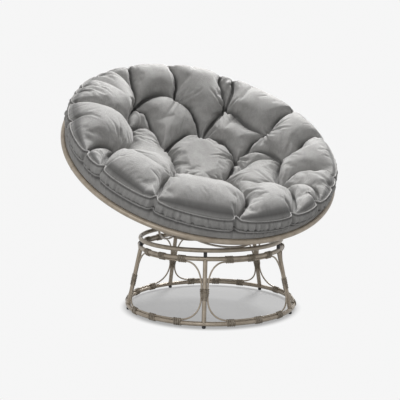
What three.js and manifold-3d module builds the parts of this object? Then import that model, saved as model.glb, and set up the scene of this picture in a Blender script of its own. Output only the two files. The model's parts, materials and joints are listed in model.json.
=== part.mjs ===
// Papasan chair: a loose steel bowl with a thick round cushion, leaning on a bound ring stand.
// Millimetres, +Z up. The bowl faces -Y. The origin is the middle of the whole chair, on the floor.

import * as THREE from "three";
import { mergeVertices } from "three/addons/utils/BufferGeometryUtils.js";
import Module from "manifold-3d";

const wasm = await Module();
wasm.setup();

// Clearances
const seatGap = 0.3; // between two pieces that touch
const rodGap = 0.4; // between a loop's rod and the tube that it is bound to
const windingGap = 1; // round what a winding is open to: a ring's tube, or the rods beside a leg
const bendGap = 0.15; // round a rod where it bends away through the wall of a leg's winding
const rimGap = 1; // between the rim and the cushion

// Stand: two upper rings, a floor ring, five legs with glides, and spacers between the upper rings
const legCount = 5;
const baseRingRadius = 320;
const standRingRadius = 271;
const seatRingRadius = 269;
const ringTube = 8;
const legTube = 8;
const standRingHeight = 237;
const spacerLength = 14;
const spacerRadius = 7;
const legTurn = -28.3; // degrees from the bowl's front to the first leg
const glideHeight = 8;
const glideRadius = 7;
const glideFootRadius = 5;
const glideChamfer = 2.5;

// Loops of thin rod, one in each bay, and the windings that bind them to the rings and legs
const loopRod = 3;
const topCornerWidth = 58;
const topCornerDrop = 88;
const baseCornerWidth = 78;
const baseCornerRise = 76;
const cornerPullShare = 0.6; // of a corner, how far its curve keeps the direction of each side
const windingWall = 1.6;
const ringWindingLength = 30;
const topWindingSpread = 18; // degrees from the middle of a bay to its outer windings
const baseWindingSpread = 19;
const legWindingLength = 34;
const legWindingHeight = 117;

// Bowl: rim, ribs and bottom ring
const ribCount = 10;
const bowlTilt = 31.7; // degrees
const rimRadius = 532;
const rimTube = 10;
const bowlDepth = 330;
const bottomRingRadius = 145;
const bottomRingTube = 6;
const ribRod = 4;
const ribRimAngle = 60; // degrees between a rib and the rim's plane, where it meets the rim
const ribBottomAngle = 30;
const ribRimPull = 110; // how far a rib keeps its direction at each end
const ribBottomPull = 150;

// Cushion
const gussetOut = 4; // how far its edge stands out past the middle line of the rim
const gussetMiddle = 58; // height of that edge above the rim's plane
const gussetPull = 26; // how far the edge runs straight up and down there
const crownInset = 92; // from the middle line of the rim in to the top of the crown
const crownRise = 118;
const crownPullOut = 60; // how far the crown runs level on each side of its top
const crownPullIn = 80;
const dishDepth = 118; // of the middle of the seat, below the rim's plane
const dishPull = 230;

// Smoothness
const ringSteps = 55;
const rimSteps = 70;
const bottomRingSteps = 30;
const tubeSides = 8;
const rodArcSteps = 3;
const roundSides = 12;
const ribSteps = 8;
const loopSteps = 40;
const windingSteps = 1;
const legWindingArcSteps = 2;
const cushionStepsPerRib = 3;
const cushionArcSteps = 4;
const settleSamples = 12; // on each straight piece of a rib, and for each rib round the bottom ring
const settleSteps = 100;
const settleHalvings = 24;

const rad = THREE.MathUtils.degToRad;
const up = new THREE.Vector3(0, 0, 1);
const bayAngle = 360 / legCount;
const ribAngle = 360 / ribCount;
const baseRingHeight = glideHeight + seatGap + ringTube;
const seatRingHeight = standRingHeight + 2 * ringTube + spacerLength;
const rodOffset = ringTube + rodGap + loopRod;
const legRodOffset = legTube + rodGap + loopRod;

const paint = new THREE.MeshStandardMaterial({ color: 0x94897a, roughness: 0.5, metalness: 0.2 });
const strand = new THREE.MeshStandardMaterial({ color: 0x8c8172, roughness: 0.6, metalness: 0 });
const plastic = new THREE.MeshStandardMaterial({ color: 0x161616, roughness: 0.6, metalness: 0 });
const cloth = new THREE.MeshStandardMaterial({ color: 0x8b8a88, roughness: 0.95, metalness: 0 });

// Solids for cuts and joins
function toSolid(geometry) {
  const bare = geometry.clone();
  bare.deleteAttribute("normal");
  bare.deleteAttribute("uv");
  const merged = mergeVertices(bare);
  const vertProperties = new Float32Array(merged.attributes.position.array);
  const triVerts = new Uint32Array(merged.index.array);
  return new wasm.Manifold(new wasm.Mesh({ numProp: 3, vertProperties, triVerts }));
}

function fromSolid(solid) {
  const { vertProperties, triVerts } = solid.getMesh();
  const geometry = new THREE.BufferGeometry();
  geometry.setAttribute("position", new THREE.Float32BufferAttribute(vertProperties, 3));
  geometry.setIndex(Array.from(triVerts));
  return geometry;
}

function piece(name, geometry, material) {
  const mesh = new THREE.Mesh(geometry, material);
  mesh.name = name;
  return mesh;
}

// Copies of a piece, an equal angle apart round +Z
function around(count, name, geometry, material) {
  return Array.from({ length: count }, (_, index) => {
    const mesh = piece(`${name}_${index + 1}`, geometry, material);
    mesh.rotation.z = (index * 2 * Math.PI) / count;
    return mesh;
  });
}

// The level direction at an angle in degrees from the front, positive towards +X
function outward(angle) {
  return new THREE.Vector3(0, -1, 0).applyAxisAngle(up, rad(angle));
}

function ring(radius, height, tube, steps) {
  return new THREE.TorusGeometry(radius, tube, tubeSides, steps).translate(0, 0, height);
}

// Stand, with its first leg at the front
const baseRing = ring(baseRingRadius, baseRingHeight, ringTube, ringSteps);
const standRing = ring(standRingRadius, standRingHeight, ringTube, ringSteps);
const seatRing = ring(seatRingRadius, seatRingHeight, ringTube, ringSteps);

// What a piece is cut back by where it meets a ring, so that it is coped to the ring's tube
const baseCope = toSolid(ring(baseRingRadius, baseRingHeight, ringTube + seatGap, ringSteps));
const standCope = toSolid(ring(standRingRadius, standRingHeight, ringTube + seatGap, ringSteps));
const seatCope = toSolid(ring(seatRingRadius, seatRingHeight, ringTube + seatGap, ringSteps));

// The stand's flare: its radius at a height, between two heights where it meets the rings
function flare(height, low, high) {
  return THREE.MathUtils.mapLinear(height, low, high, baseRingRadius, standRingRadius);
}

function frontPoint(radius, height) {
  return outward(0).multiplyScalar(radius).setZ(height);
}

function legPoint(height) {
  return frontPoint(flare(height, baseRingHeight, standRingHeight), height);
}

// Turns a shape drawn along +Z to lie along the line from one point to another
function alongLine(geometry, low, high) {
  const rise = high.clone().sub(low).normalize();
  return geometry.applyQuaternion(new THREE.Quaternion().setFromUnitVectors(up, rise));
}

// Moves a shape drawn along +Z onto the front leg, with its middle at a height
function onLeg(geometry, height) {
  alongLine(geometry, legPoint(baseRingHeight), legPoint(standRingHeight));
  return geometry.translate(...legPoint(height).toArray());
}

// A round bar between two points, shortened by the same length at each end
function bar(low, high, radius, sides, inset) {
  const length = low.distanceTo(high) - 2 * inset;
  const rod = new THREE.CylinderGeometry(radius, radius, length, sides).rotateX(Math.PI / 2);
  const middle = low.clone().add(high).divideScalar(2);
  return toSolid(alongLine(rod, low, high).translate(...middle.toArray()));
}

function legShape() {
  const rod = bar(legPoint(baseRingHeight), legPoint(standRingHeight), legTube, tubeSides, ringTube / 2);
  return fromSolid(rod.subtract(baseCope).subtract(standCope));
}

function glideShape() {
  const foot = [[0, 0], [glideFootRadius, 0], [glideRadius, glideChamfer]];
  const top = [[glideRadius, baseRingHeight], [0, baseRingHeight]];
  const profile = [...foot, ...top].map(([across, height]) => new THREE.Vector2(across, height));
  const post = new THREE.LatheGeometry(profile, roundSides).rotateX(Math.PI / 2);
  return fromSolid(toSolid(post.translate(0, -baseRingRadius, 0)).subtract(baseCope));
}

// A spacer leans where the two rings that it joins aren't equally wide
function spacerShape() {
  const foot = frontPoint(standRingRadius, standRingHeight);
  const top = frontPoint(seatRingRadius, seatRingHeight);
  return fromSolid(bar(foot, top, spacerRadius, roundSides, 0).subtract(standCope).subtract(seatCope));
}

// A loop lies in a bay's flare, drawn flat as the width along the bay and the height
const loopLow = baseRingHeight + rodOffset;
const loopHigh = standRingHeight - rodOffset;

function loopSide(height) {
  return rad(bayAngle / 2) * flare(height, loopLow, loopHigh) - legRodOffset;
}

function loopOutline() {
  const topEnd = loopSide(loopHigh) - topCornerWidth;
  const baseEnd = loopSide(loopLow) - baseCornerWidth;
  const shoulder = loopHigh - topCornerDrop;
  const knee = loopLow + baseCornerRise;
  const outline = new THREE.Path();
  const to = (x, y) => outline.lineTo(x, y);
  const round = (cornerX, cornerY, x, y) => {
    const from = outline.currentPoint.clone();
    const corner = new THREE.Vector2(cornerX, cornerY);
    const end = new THREE.Vector2(x, y);
    const first = from.clone().lerp(corner, cornerPullShare);
    const second = end.clone().lerp(corner, cornerPullShare);
    outline.bezierCurveTo(first.x, first.y, second.x, second.y, end.x, end.y);
  };
  outline.moveTo(0, loopHigh);
  to(topEnd, loopHigh);
  round(loopSide(loopHigh), loopHigh, loopSide(shoulder), shoulder);
  to(loopSide(knee), knee);
  round(loopSide(loopLow), loopLow, baseEnd, loopLow);
  to(-baseEnd, loopLow);
  round(-loopSide(loopLow), loopLow, -loopSide(knee), knee);
  to(-loopSide(shoulder), shoulder);
  round(-loopSide(loopHigh), loopHigh, -topEnd, loopHigh);
  to(0, loopHigh);
  return outline;
}

class LoopCurve extends THREE.Curve {
  constructor() {
    super();
    this.outline = loopOutline();
  }

  getPoint(share) {
    const { x: width, y: height } = this.outline.getPoint(share);
    const radius = flare(height, loopLow, loopHigh);
    const angle = bayAngle / 2 + THREE.MathUtils.radToDeg(width / radius);
    return outward(angle).multiplyScalar(radius).setZ(height);
  }
}

class RingArc extends THREE.Curve {
  constructor(radius, height, middle, length) {
    super();
    Object.assign(this, { radius, height, middle, length });
  }

  getPoint(share) {
    const along = THREE.MathUtils.lerp(-this.length / 2, this.length / 2, share);
    const angle = this.middle + THREE.MathUtils.radToDeg(along / this.radius);
    return outward(angle).multiplyScalar(this.radius).setZ(this.height);
  }
}

// The angle from a rod's side of a tube to where a strand pulled tight round both meets the tube
function touchAngle(big, small, offset) {
  return Math.acos((big - small) / Math.abs(offset));
}

// The outline of a strand pulled tight round a tube and one rod beside it
function boundOutline(big, small, offset) {
  const touch = touchAngle(big, small, offset);
  const turn = offset < 0 ? Math.PI : 0;
  const outline = new THREE.Shape();
  outline.absarc(offset, 0, small, turn - touch, turn + touch);
  outline.absarc(0, 0, big, turn + touch, turn + 2 * Math.PI - touch);
  return outline;
}

// The same round a tube and a rod on each side of it
function boundPairOutline(big, small, offset) {
  const touch = touchAngle(big, small, offset);
  const outline = new THREE.Shape();
  outline.absarc(offset, 0, small, -touch, touch);
  outline.absarc(0, 0, big, touch, Math.PI - touch);
  outline.absarc(-offset, 0, small, Math.PI - touch, Math.PI + touch);
  outline.absarc(0, 0, big, Math.PI + touch, 2 * Math.PI - touch);
  return outline;
}

// The steps that keep a winding's faceted outside clear of its hole, for each half of an arc
function windingArcSteps(big, hole, span) {
  return Math.ceil(span / 2 / (2 * Math.acos(hole / big)));
}

// A winding on a ring, open round the ring's tube and closed on the loop's rod
function ringWinding(radius, height, middle, offset) {
  const hole = ringTube + windingGap;
  const [big, small] = [hole + windingWall, loopRod + windingWall];
  const outline = boundOutline(big, small, offset);
  const corners = Array.from({ length: tubeSides }, (_, index) => (index * 2 * Math.PI) / tubeSides);
  const tube = corners.map((angle) => new THREE.Vector2(Math.cos(angle), Math.sin(angle)));
  outline.holes.push(new THREE.Path(tube.map((corner) => corner.multiplyScalar(hole))));
  const extrudePath = new RingArc(radius, height, middle, ringWindingLength);
  const curveSegments = windingArcSteps(big, hole, 2 * (Math.PI - touchAngle(big, small, offset)));
  const options = { extrudePath, steps: windingSteps, curveSegments };
  return toSolid(new THREE.ExtrudeGeometry(outline, options));
}

function loopRodSolid(radius) {
  return toSolid(new THREE.TubeGeometry(new LoopCurve(), loopSteps, radius, 2 * rodArcSteps, true));
}

function loopShape() {
  const rod = loopRodSolid(loopRod);
  const middle = bayAngle / 2;
  const tops = [-topWindingSpread, 0, topWindingSpread].map((spread) =>
    ringWinding(standRingRadius, standRingHeight, middle + spread, rodOffset));
  const bases = [-baseWindingSpread, 0, baseWindingSpread].map((spread) =>
    ringWinding(baseRingRadius, baseRingHeight, middle + spread, -rodOffset));
  return fromSolid([...tops, ...bases].reduce((whole, winding) => whole.add(winding), rod));
}

// A winding on a leg and the rods on each side of it, cut back where a rod bends away inside it
function legWindingShape() {
  const tube = legTube + rodGap;
  const rod = loopRod + windingGap;
  const outer = boundPairOutline(tube + windingWall, rod + windingWall, legRodOffset);
  outer.holes.push(boundPairOutline(tube, rod, legRodOffset));
  const options = { depth: legWindingLength, bevelEnabled: false, curveSegments: legWindingArcSteps };
  const sleeve = new THREE.ExtrudeGeometry(outer, options).translate(0, 0, -legWindingLength / 2);
  const right = loopRodSolid(loopRod + bendGap);
  const left = right.rotate([0, 0, -bayAngle]);
  return fromSolid(toSolid(onLeg(sleeve, legWindingHeight)).subtract(right).subtract(left));
}

// Bowl, about +Z, with its rim in the plane z = 0 and its lowest edge at the front
function bowlPoint(radius, depth) {
  return new THREE.Vector3(0, -radius, -depth);
}

function ribCurve() {
  const rim = bowlPoint(rimRadius, 0);
  const bottom = bowlPoint(bottomRingRadius, bowlDepth);
  const rimAngle = rad(ribRimAngle);
  const bottomAngle = rad(ribBottomAngle);
  const rimLead = bowlPoint(-Math.cos(rimAngle), Math.sin(rimAngle)).multiplyScalar(ribRimPull);
  const bottomLead = bowlPoint(Math.cos(bottomAngle), -Math.sin(bottomAngle)).multiplyScalar(ribBottomPull);
  return new THREE.CubicBezierCurve3(rim, rimLead.add(rim), bottomLead.add(bottom), bottom);
}

function ribShape() {
  const section = new THREE.Shape().absarc(0, 0, ribRod, Math.PI / 2, (5 * Math.PI) / 2);
  const options = { extrudePath: ribCurve(), steps: ribSteps, curveSegments: rodArcSteps };
  const rimCope = toSolid(ring(rimRadius, 0, rimTube + seatGap, rimSteps));
  const bottomCope = toSolid(ring(bottomRingRadius, -bowlDepth, bottomRingTube + seatGap, bottomRingSteps));
  const rod = toSolid(new THREE.ExtrudeGeometry(section, options));
  return fromSolid(rod.subtract(rimCope).subtract(bottomCope));
}

// The bowl lies as far back as lets its ribs and its bottom ring both touch the seat ring
function turnedAll(points) {
  const tilt = new THREE.Matrix4().makeRotationX(rad(bowlTilt));
  const angles = Array.from({ length: ribCount }, (_, index) => rad(index * ribAngle));
  return angles.flatMap((angle) =>
    points.map((point) => point.clone().applyAxisAngle(up, angle).applyMatrix4(tilt)));
}

function ribLine() {
  const knots = ribCurve().getSpacedPoints(ribSteps);
  const shares = Array.from({ length: settleSamples }, (_, part) => part / settleSamples);
  return knots.slice(1).flatMap((knot, index) =>
    shares.map((share) => knots[index].clone().lerp(knot, share)));
}

function bottomLine() {
  const start = bowlPoint(bottomRingRadius, bowlDepth);
  return Array.from({ length: settleSamples }, (_, part) =>
    start.clone().applyAxisAngle(up, rad((part * ribAngle) / settleSamples)));
}

function touchHeight(line, reach, back) {
  const radius = seatRingRadius * Math.cos(Math.PI / ringSteps);
  const isClear = (height) => line.every(({ x, y, z }) =>
    Math.hypot(Math.hypot(x, y + back) - radius, z + height - seatRingHeight) > reach);
  let clear = seatRingHeight + rimRadius;
  let touching = clear;
  while (isClear(touching) && touching > seatRingHeight) {
    clear = touching;
    touching -= rimRadius / settleSteps;
  }
  for (let halving = 0; halving < settleHalvings; halving += 1) {
    const middle = (clear + touching) / 2;
    if (isClear(middle)) clear = middle;
    else touching = middle;
  }
  return clear;
}

function settledBowl() {
  const ribs = turnedAll(ribLine());
  const bottom = turnedAll(bottomLine());
  const ribHeight = (back) => touchHeight(ribs, ringTube + ribRod + seatGap, back);
  const bottomHeight = (back) => touchHeight(bottom, ringTube + bottomRingTube + seatGap, back);
  // Seen from above, the bottom ring crosses the seat ring only between these two places
  const bottomBack = bowlDepth * Math.sin(rad(bowlTilt));
  const bottomReach = bottomRingRadius * Math.cos(rad(bowlTilt));
  let near = seatRingRadius - bottomReach - bottomBack;
  let far = seatRingRadius + bottomReach - bottomBack;
  for (let halving = 0; halving < settleHalvings; halving += 1) {
    const middle = (near + far) / 2;
    if (ribHeight(middle) > bottomHeight(middle)) near = middle;
    else far = middle;
  }
  return { back: near, height: Math.max(ribHeight(near), bottomHeight(near)) };
}

// Cushion, about the bowl's axis: it lies on the ribs, folds out over the rim and dishes on top
function cushionShape() {
  const under = bowlDepth - bottomRingTube - seatGap;
  const offset = ribRod + seatGap;
  const knots = ribCurve().getSpacedPoints(ribSteps).reverse();
  const lining = knots.slice(1, -1).map((knot, index) => {
    const along = knots[index + 2].clone().sub(knots[index]).normalize();
    return new THREE.Vector2(-knot.y - along.z * offset, knot.z - along.y * offset);
  });
  const profile = new THREE.Path();
  profile.moveTo(0, -under);
  profile.lineTo(bottomRingRadius, -under);
  lining.filter(({ y }) => y > -under && y < -rimTube).forEach(({ x, y }) => profile.lineTo(x, y));
  const lip = rimTube + rimGap;
  const edge = rimRadius + gussetOut;
  const crown = rimRadius - crownInset;
  profile.lineTo(rimRadius - lip, 0);
  profile.quadraticCurveTo(rimRadius - lip, lip, rimRadius, lip);
  profile.bezierCurveTo(edge, lip, edge, gussetMiddle - gussetPull, edge, gussetMiddle);
  profile.bezierCurveTo(edge, gussetMiddle + gussetPull, crown + crownPullOut, crownRise, crown, crownRise);
  profile.bezierCurveTo(crown - crownPullIn, crownRise, dishPull, -dishDepth, 0, -dishDepth);
  const steps = cushionStepsPerRib * ribCount;
  return new THREE.LatheGeometry(profile.getPoints(cushionArcSteps), steps).rotateX(Math.PI / 2);
}

const stand = new THREE.Group();
stand.rotation.z = rad(legTurn);
stand.add(piece("base_ring", baseRing, paint));
stand.add(piece("stand_ring", standRing, paint));
stand.add(piece("seat_ring", seatRing, paint));
stand.add(...around(legCount, "leg", legShape(), paint));
stand.add(...around(legCount, "glide", glideShape(), plastic));
stand.add(...around(legCount, "spacer", spacerShape(), plastic));
stand.add(...around(legCount, "loop", loopShape(), paint));
stand.add(...around(legCount, "leg_winding", legWindingShape(), strand));

const bowl = new THREE.Group();
const settled = settledBowl();
bowl.rotation.x = rad(bowlTilt);
bowl.position.set(0, settled.back, settled.height);
const rim = ring(rimRadius, 0, rimTube, rimSteps);
const bottomRing = ring(bottomRingRadius, -bowlDepth, bottomRingTube, bottomRingSteps);
bowl.add(piece("bowl_rim", rim, paint));
bowl.add(piece("bowl_bottom_ring", bottomRing, paint));
bowl.add(...around(ribCount, "rib", ribShape(), paint));
bowl.add(piece("cushion", cushionShape(), cloth));

const chair = new THREE.Group();
chair.add(stand, bowl);
const middle = new THREE.Box3().setFromObject(chair, true).getCenter(new THREE.Vector3());
chair.position.set(-middle.x, -middle.y, 0);

export default chair;
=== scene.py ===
"""Papasan chair: a tufted round cushion in a ribbed steel bowl that leans on a bound ring stand.

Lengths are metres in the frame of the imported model: +Z up, and the bowl faces -Y. Angles round the
bowl and the stand are degrees from the front, positive towards +X.
"""

import json
import logging
import math
from collections.abc import Mapping, Sequence
from dataclasses import dataclass, field
from enum import Enum

import bpy
import numpy as np
from mathutils import Matrix, Vector


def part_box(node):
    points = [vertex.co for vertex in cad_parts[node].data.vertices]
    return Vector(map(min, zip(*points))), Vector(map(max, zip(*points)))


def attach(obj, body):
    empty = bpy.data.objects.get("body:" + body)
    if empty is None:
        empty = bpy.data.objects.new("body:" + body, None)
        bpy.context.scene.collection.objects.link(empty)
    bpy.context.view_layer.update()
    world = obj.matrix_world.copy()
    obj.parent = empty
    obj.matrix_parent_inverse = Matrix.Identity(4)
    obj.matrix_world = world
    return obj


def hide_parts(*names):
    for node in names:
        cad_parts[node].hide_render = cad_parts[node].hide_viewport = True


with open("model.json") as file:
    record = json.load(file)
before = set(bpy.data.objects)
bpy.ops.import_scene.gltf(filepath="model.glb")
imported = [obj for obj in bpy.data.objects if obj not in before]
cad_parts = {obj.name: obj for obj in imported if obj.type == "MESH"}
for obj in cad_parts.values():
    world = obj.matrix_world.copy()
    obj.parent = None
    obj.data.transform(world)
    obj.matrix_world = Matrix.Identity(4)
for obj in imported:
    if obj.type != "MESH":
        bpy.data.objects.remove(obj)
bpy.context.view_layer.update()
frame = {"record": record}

log = logging.getLogger("papasan")

Points = np.ndarray
Pair = tuple[float, float]
Colour = tuple[float, float, float]
Piece = bpy.types.Object
Material = bpy.types.Material
Node = bpy.types.Node
NodeTree = bpy.types.NodeTree
Socket = bpy.types.NodeSocket
Sockets = Mapping[str, Socket]

FLOAT, INT, VECTOR = "NodeSocketFloat", "NodeSocketInt", "NodeSocketVector"
GEOMETRY, OBJECT, MATERIAL = "NodeSocketGeometry", "NodeSocketObject", "NodeSocketMaterial"
UP = np.array([0, 0, 1.0])


class Body(Enum):
    """The bodies that move against each other."""

    STAND = "stand"
    BOWL = "bowl"
    CUSHION = "cushion"


class Slot(Enum):
    """The material slots of the record."""

    PAINT = "frame_paint"
    STRAND = "winding_strand"
    PLASTIC = "black_plastic"
    CLOTH = "cushion_cloth"


# Node trees


class Tree:
    """A node tree that is built by naming each node's settings and inputs."""

    def __init__(self, tree: NodeTree) -> None:
        """Starts to fill a tree."""
        self.tree = tree

    def node(self, kind: str, inputs: dict | None = None, **settings: object) -> Node:
        """Adds a node.

        Args:
            kind: the node's type name.
            inputs: by input name or number, a value or the socket that feeds it.
            settings: the node's own properties.

        Returns:
            The new node.
        """
        made = self.tree.nodes.new(kind)
        for name, value in settings.items():
            setattr(made, name, value)
        for key, value in (inputs or {}).items():
            if isinstance(value, Socket):
                self.tree.links.new(value, made.inputs[key])
            else:
                made.inputs[key].default_value = value
        return made

    def out(self, kind: str, inputs: dict | None = None, **settings: object) -> Socket:
        """Adds a node and returns its first output."""
        return self.node(kind, inputs, **settings).outputs[0]

    def math(self, operation: str, *values: object) -> Socket:
        """Adds a Math node and returns its result."""
        return self.out("ShaderNodeMath", dict(enumerate(values)), operation=operation)

    def spread(self, value: object, low: object, high: object, start: object, end: object) -> Socket:
        """Maps a value from low..high to start..end, clamped, and returns it."""
        inputs = {"Value": value, "From Min": low, "From Max": high, "To Min": start, "To Max": end}
        return self.node("ShaderNodeMapRange", inputs).outputs["Result"]

    def noise(self, place: Socket, scale: object, detail: float, roughness: float) -> Socket:
        """Adds a Noise Texture and returns its value."""
        inputs = {"Vector": place, "Scale": scale, "Detail": detail, "Roughness": roughness}
        return self.out("ShaderNodeTexNoise", inputs)

    def mixed(self, factor: Socket, first: object, second: object) -> Socket:
        """Mixes two colours by a factor and returns the result."""
        inputs = {"Factor": factor, "A": first, "B": second}
        return self.node("ShaderNodeMix", inputs, data_type="RGBA").outputs["Result"]


class Group(Tree):
    """A node group: a tree with named inputs and outputs."""

    def __init__(self, name: str, kind: str, inputs: dict, outputs: dict) -> None:
        """Makes the group with its two ends.

        Args:
            name: the group's name.
            kind: ShaderNodeTree or GeometryNodeTree.
            inputs: by name, the socket type and its default, or None.
            outputs: by name, the socket type.
        """
        super().__init__(bpy.data.node_groups.new(name, kind))
        for label, (socket_type, default) in inputs.items():
            made = self.tree.interface.new_socket(label, in_out="INPUT", socket_type=socket_type)
            if default is not None:
                made.default_value = default
        for label, socket_type in outputs.items():
            self.tree.interface.new_socket(label, in_out="OUTPUT", socket_type=socket_type)
        self.given = self.node("NodeGroupInput").outputs
        self.result = self.node("NodeGroupOutput").inputs

    def put_out(self, **sockets: Socket) -> NodeTree:
        """Ends the group.

        Args:
            sockets: by output name, the socket that feeds it.

        Returns:
            The group's tree.
        """
        for label, socket in sockets.items():
            self.tree.links.new(socket, self.result[label])
        return self.tree


class Grower(Group):
    """A geometry tree that grows a piece along the paths that it is given."""

    def __init__(self, name: str, sizes: dict) -> None:
        """Starts the tree, with its paths turned into curves.

        Args:
            name: the tree's name.
            sizes: by input name, the socket type and its default, or None.
        """
        inputs = {"Geometry": (GEOMETRY, None), **sizes, "Material": (MATERIAL, None)}
        super().__init__(name, "GeometryNodeTree", inputs, {"Geometry": GEOMETRY})
        self.path = self.out("GeometryNodeMeshToCurve", {"Mesh": self.given["Geometry"]})

    def laid(
        self, places: Node, copied: Socket, lean: object = 0.0, scale: object = (1.0, 1.0, 1.0),
    ) -> Socket:
        """Lays a copy at each place along a path and turns each a little, at random.

        Args:
            places: the node that gives the places and their turns.
            copied: the geometry that is copied.
            lean: how far every copy leans.
            scale: the size of each copy.

        Returns:
            The copies, as instances.
        """
        copies = self.out("GeometryNodeInstanceOnPoints", {
            "Points": places.outputs["Points"], "Instance": copied, "Rotation": places.outputs["Rotation"],
            "Scale": scale,
        })
        least = self.math("MULTIPLY", self.given["Jitter"], -1.0)
        chance = self.node("FunctionNodeRandomValue", {
            "Min": least, "Max": self.given["Jitter"], "Seed": self.given["Seed"],
        }, data_type="FLOAT")
        wobble = next(socket for socket in chance.outputs if socket.enabled)
        tilt = self.out("ShaderNodeCombineXYZ", {"X": self.math("ADD", lean, wobble), "Y": wobble, "Z": 0.0})
        turn = self.out("FunctionNodeEulerToRotation", {"Euler": tilt})
        return self.out(
            "GeometryNodeRotateInstances", {"Instances": copies, "Rotation": turn, "Local Space": True},
        )

    def finished(self, geometry: Socket) -> NodeTree:
        """Ends the tree: instances made real, smooth faces and the material set.

        Args:
            geometry: the grown geometry.

        Returns:
            The finished tree.
        """
        real = self.out("GeometryNodeRealizeInstances", {"Geometry": geometry})
        smooth = self.out("GeometryNodeSetShadeSmooth", {"Geometry": real})
        dressed = self.out(
            "GeometryNodeSetMaterial", {"Geometry": smooth, "Material": self.given["Material"]},
        )
        return self.put_out(Geometry=dressed)


def rod_tree() -> NodeTree:
    """Makes the tree that sweeps a round section along every path it is given.

    Returns:
        The tree.
    """
    build = Grower("Rod along a path", {"Radius": (FLOAT, 0.004), "Sides": (INT, 16)})
    section = build.out("GeometryNodeCurvePrimitiveCircle", {
        "Resolution": build.given["Sides"], "Radius": build.given["Radius"],
    })
    tube = {"Curve": build.path, "Profile Curve": section, "Fill Caps": True}
    return build.finished(build.out("GeometryNodeCurveToMesh", tube))


def winding_tree() -> NodeTree:
    """Makes the tree that lays turns of flat strand side by side along a path.

    Each turn is the outline object swept with the strand's section. The last turns can shrink to a tail.

    Returns:
        The tree.
    """
    build = Grower("Strand winding", {
        "Outline": (OBJECT, None), "Turns": (INT, 9), "Lean": (FLOAT, 0.1), "Width": (FLOAT, 0.003),
        "Height": (FLOAT, 0.001), "Tail turns": (INT, 0), "Tail scale": (FLOAT, 1.0), "Jitter": (FLOAT, 0.03),
        "Seed": (INT, 1),
    })
    given = build.given
    level = build.out("GeometryNodeSetCurveNormal", {"Curve": build.path}, mode="Z_UP")
    places = build.node("GeometryNodeCurveToPoints", {"Curve": level, "Count": given["Turns"]}, mode="COUNT")
    drawn = build.node("GeometryNodeObjectInfo", {"Object": given["Outline"]}).outputs["Geometry"]
    outline = build.out("GeometryNodeMeshToCurve", {"Mesh": drawn})
    flat = build.out("GeometryNodeSetCurveNormal", {"Curve": outline}, mode="Z_UP")
    section = build.out("GeometryNodeCurvePrimitiveCircle", {"Resolution": 8, "Radius": 1.0})
    size = build.out("ShaderNodeCombineXYZ", {"X": given["Height"], "Y": given["Width"], "Z": 1.0})
    strand = build.out("GeometryNodeTransform", {"Geometry": section, "Scale": size})
    turn = build.out("GeometryNodeCurveToMesh", {"Curve": flat, "Profile Curve": strand})
    last = build.math("SUBTRACT", given["Turns"], 1.0)
    first = build.math("SUBTRACT", last, given["Tail turns"])
    narrow = build.spread(build.out("GeometryNodeInputIndex"), first, last, 1.0, given["Tail scale"])
    scale = build.out("ShaderNodeCombineXYZ", {"X": narrow, "Y": 1.0, "Z": 1.0})
    return build.finished(build.laid(places, turn, given["Lean"], scale))


def stitch_tree() -> NodeTree:
    """Makes the tree that lays short thread stitches end to end along a path.

    Returns:
        The tree.
    """
    build = Grower("Row of stitches", {
        "Pitch": (FLOAT, 0.006), "Stitch": (FLOAT, 0.004), "Thread": (FLOAT, 0.0005), "Jitter": (FLOAT, 0.06),
        "Seed": (INT, 1),
    })
    given = build.given
    places = build.node(
        "GeometryNodeCurveToPoints", {"Curve": build.path, "Length": given["Pitch"]}, mode="LENGTH",
    )
    bead = build.out("GeometryNodeMeshUVSphere", {"Segments": 6, "Rings": 5, "Radius": 1.0})
    half = build.math("MULTIPLY", given["Stitch"], 0.5)
    size = build.out("ShaderNodeCombineXYZ", {"X": given["Thread"], "Y": given["Thread"], "Z": half})
    stitch = build.out("GeometryNodeTransform", {"Geometry": bead, "Scale": size})
    return build.finished(build.laid(places, stitch))


# Meshes


@dataclass(frozen=True)
class Path:
    """A line through points, open or closed."""

    points: Points
    closed: bool = False


def new_mesh(name: str, points: Points, edges: Sequence = (), faces: Sequence = ()) -> Piece:
    """Makes a mesh object at the origin, with its faces smooth.

    Args:
        name: the object's name.
        points: the points, in place.
        edges: pairs of point numbers.
        faces: rings of point numbers.

    Returns:
        The new object.
    """
    mesh = bpy.data.meshes.new(name)
    mesh.from_pydata(np.asarray(points).tolist(), list(edges), list(faces))
    mesh.polygons.foreach_set("use_smooth", [True] * len(mesh.polygons))
    made = bpy.data.objects.new(name, mesh)
    bpy.context.scene.collection.objects.link(made)
    return made


def paths_mesh(name: str, paths: Sequence[Path]) -> Piece:
    """Makes one object of bare edges from several paths.

    Args:
        name: the object's name.
        paths: the paths.

    Returns:
        The new object.
    """
    edges: list[tuple[int, int]] = []
    start = 0
    for path in paths:
        count = len(path.points)
        steps = count if path.closed else count - 1
        edges += [(start + step, start + (step + 1) % count) for step in range(steps)]
        start += count
    return new_mesh(name, np.vstack([path.points for path in paths]), edges)


def grown(name: str, base: Piece, tree: NodeTree, **settings: object) -> Piece:
    """Runs a geometry tree on an object and keeps the result as a plain mesh.

    Args:
        name: the new piece's name.
        base: the object that the tree starts from, which is removed.
        tree: the geometry tree.
        settings: the tree's inputs, with spaces in their names written as underscores.

    Returns:
        The new piece, at the origin.
    """
    modifier = base.modifiers.new("grow", "NODES")
    modifier.node_group = tree
    for item in tree.interface.items_tree:
        key = item.name.replace(" ", "_")
        if item.in_out == "INPUT" and key in settings:
            modifier[item.identifier] = settings[key]
    bpy.context.view_layer.update()
    graph = bpy.context.evaluated_depsgraph_get()
    mesh = bpy.data.meshes.new_from_object(base.evaluated_get(graph))
    mesh.name = name
    made = bpy.data.objects.new(name, mesh)
    bpy.context.scene.collection.objects.link(made)
    base.modifiers.remove(modifier)
    bpy.data.objects.remove(base)
    return made


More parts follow.
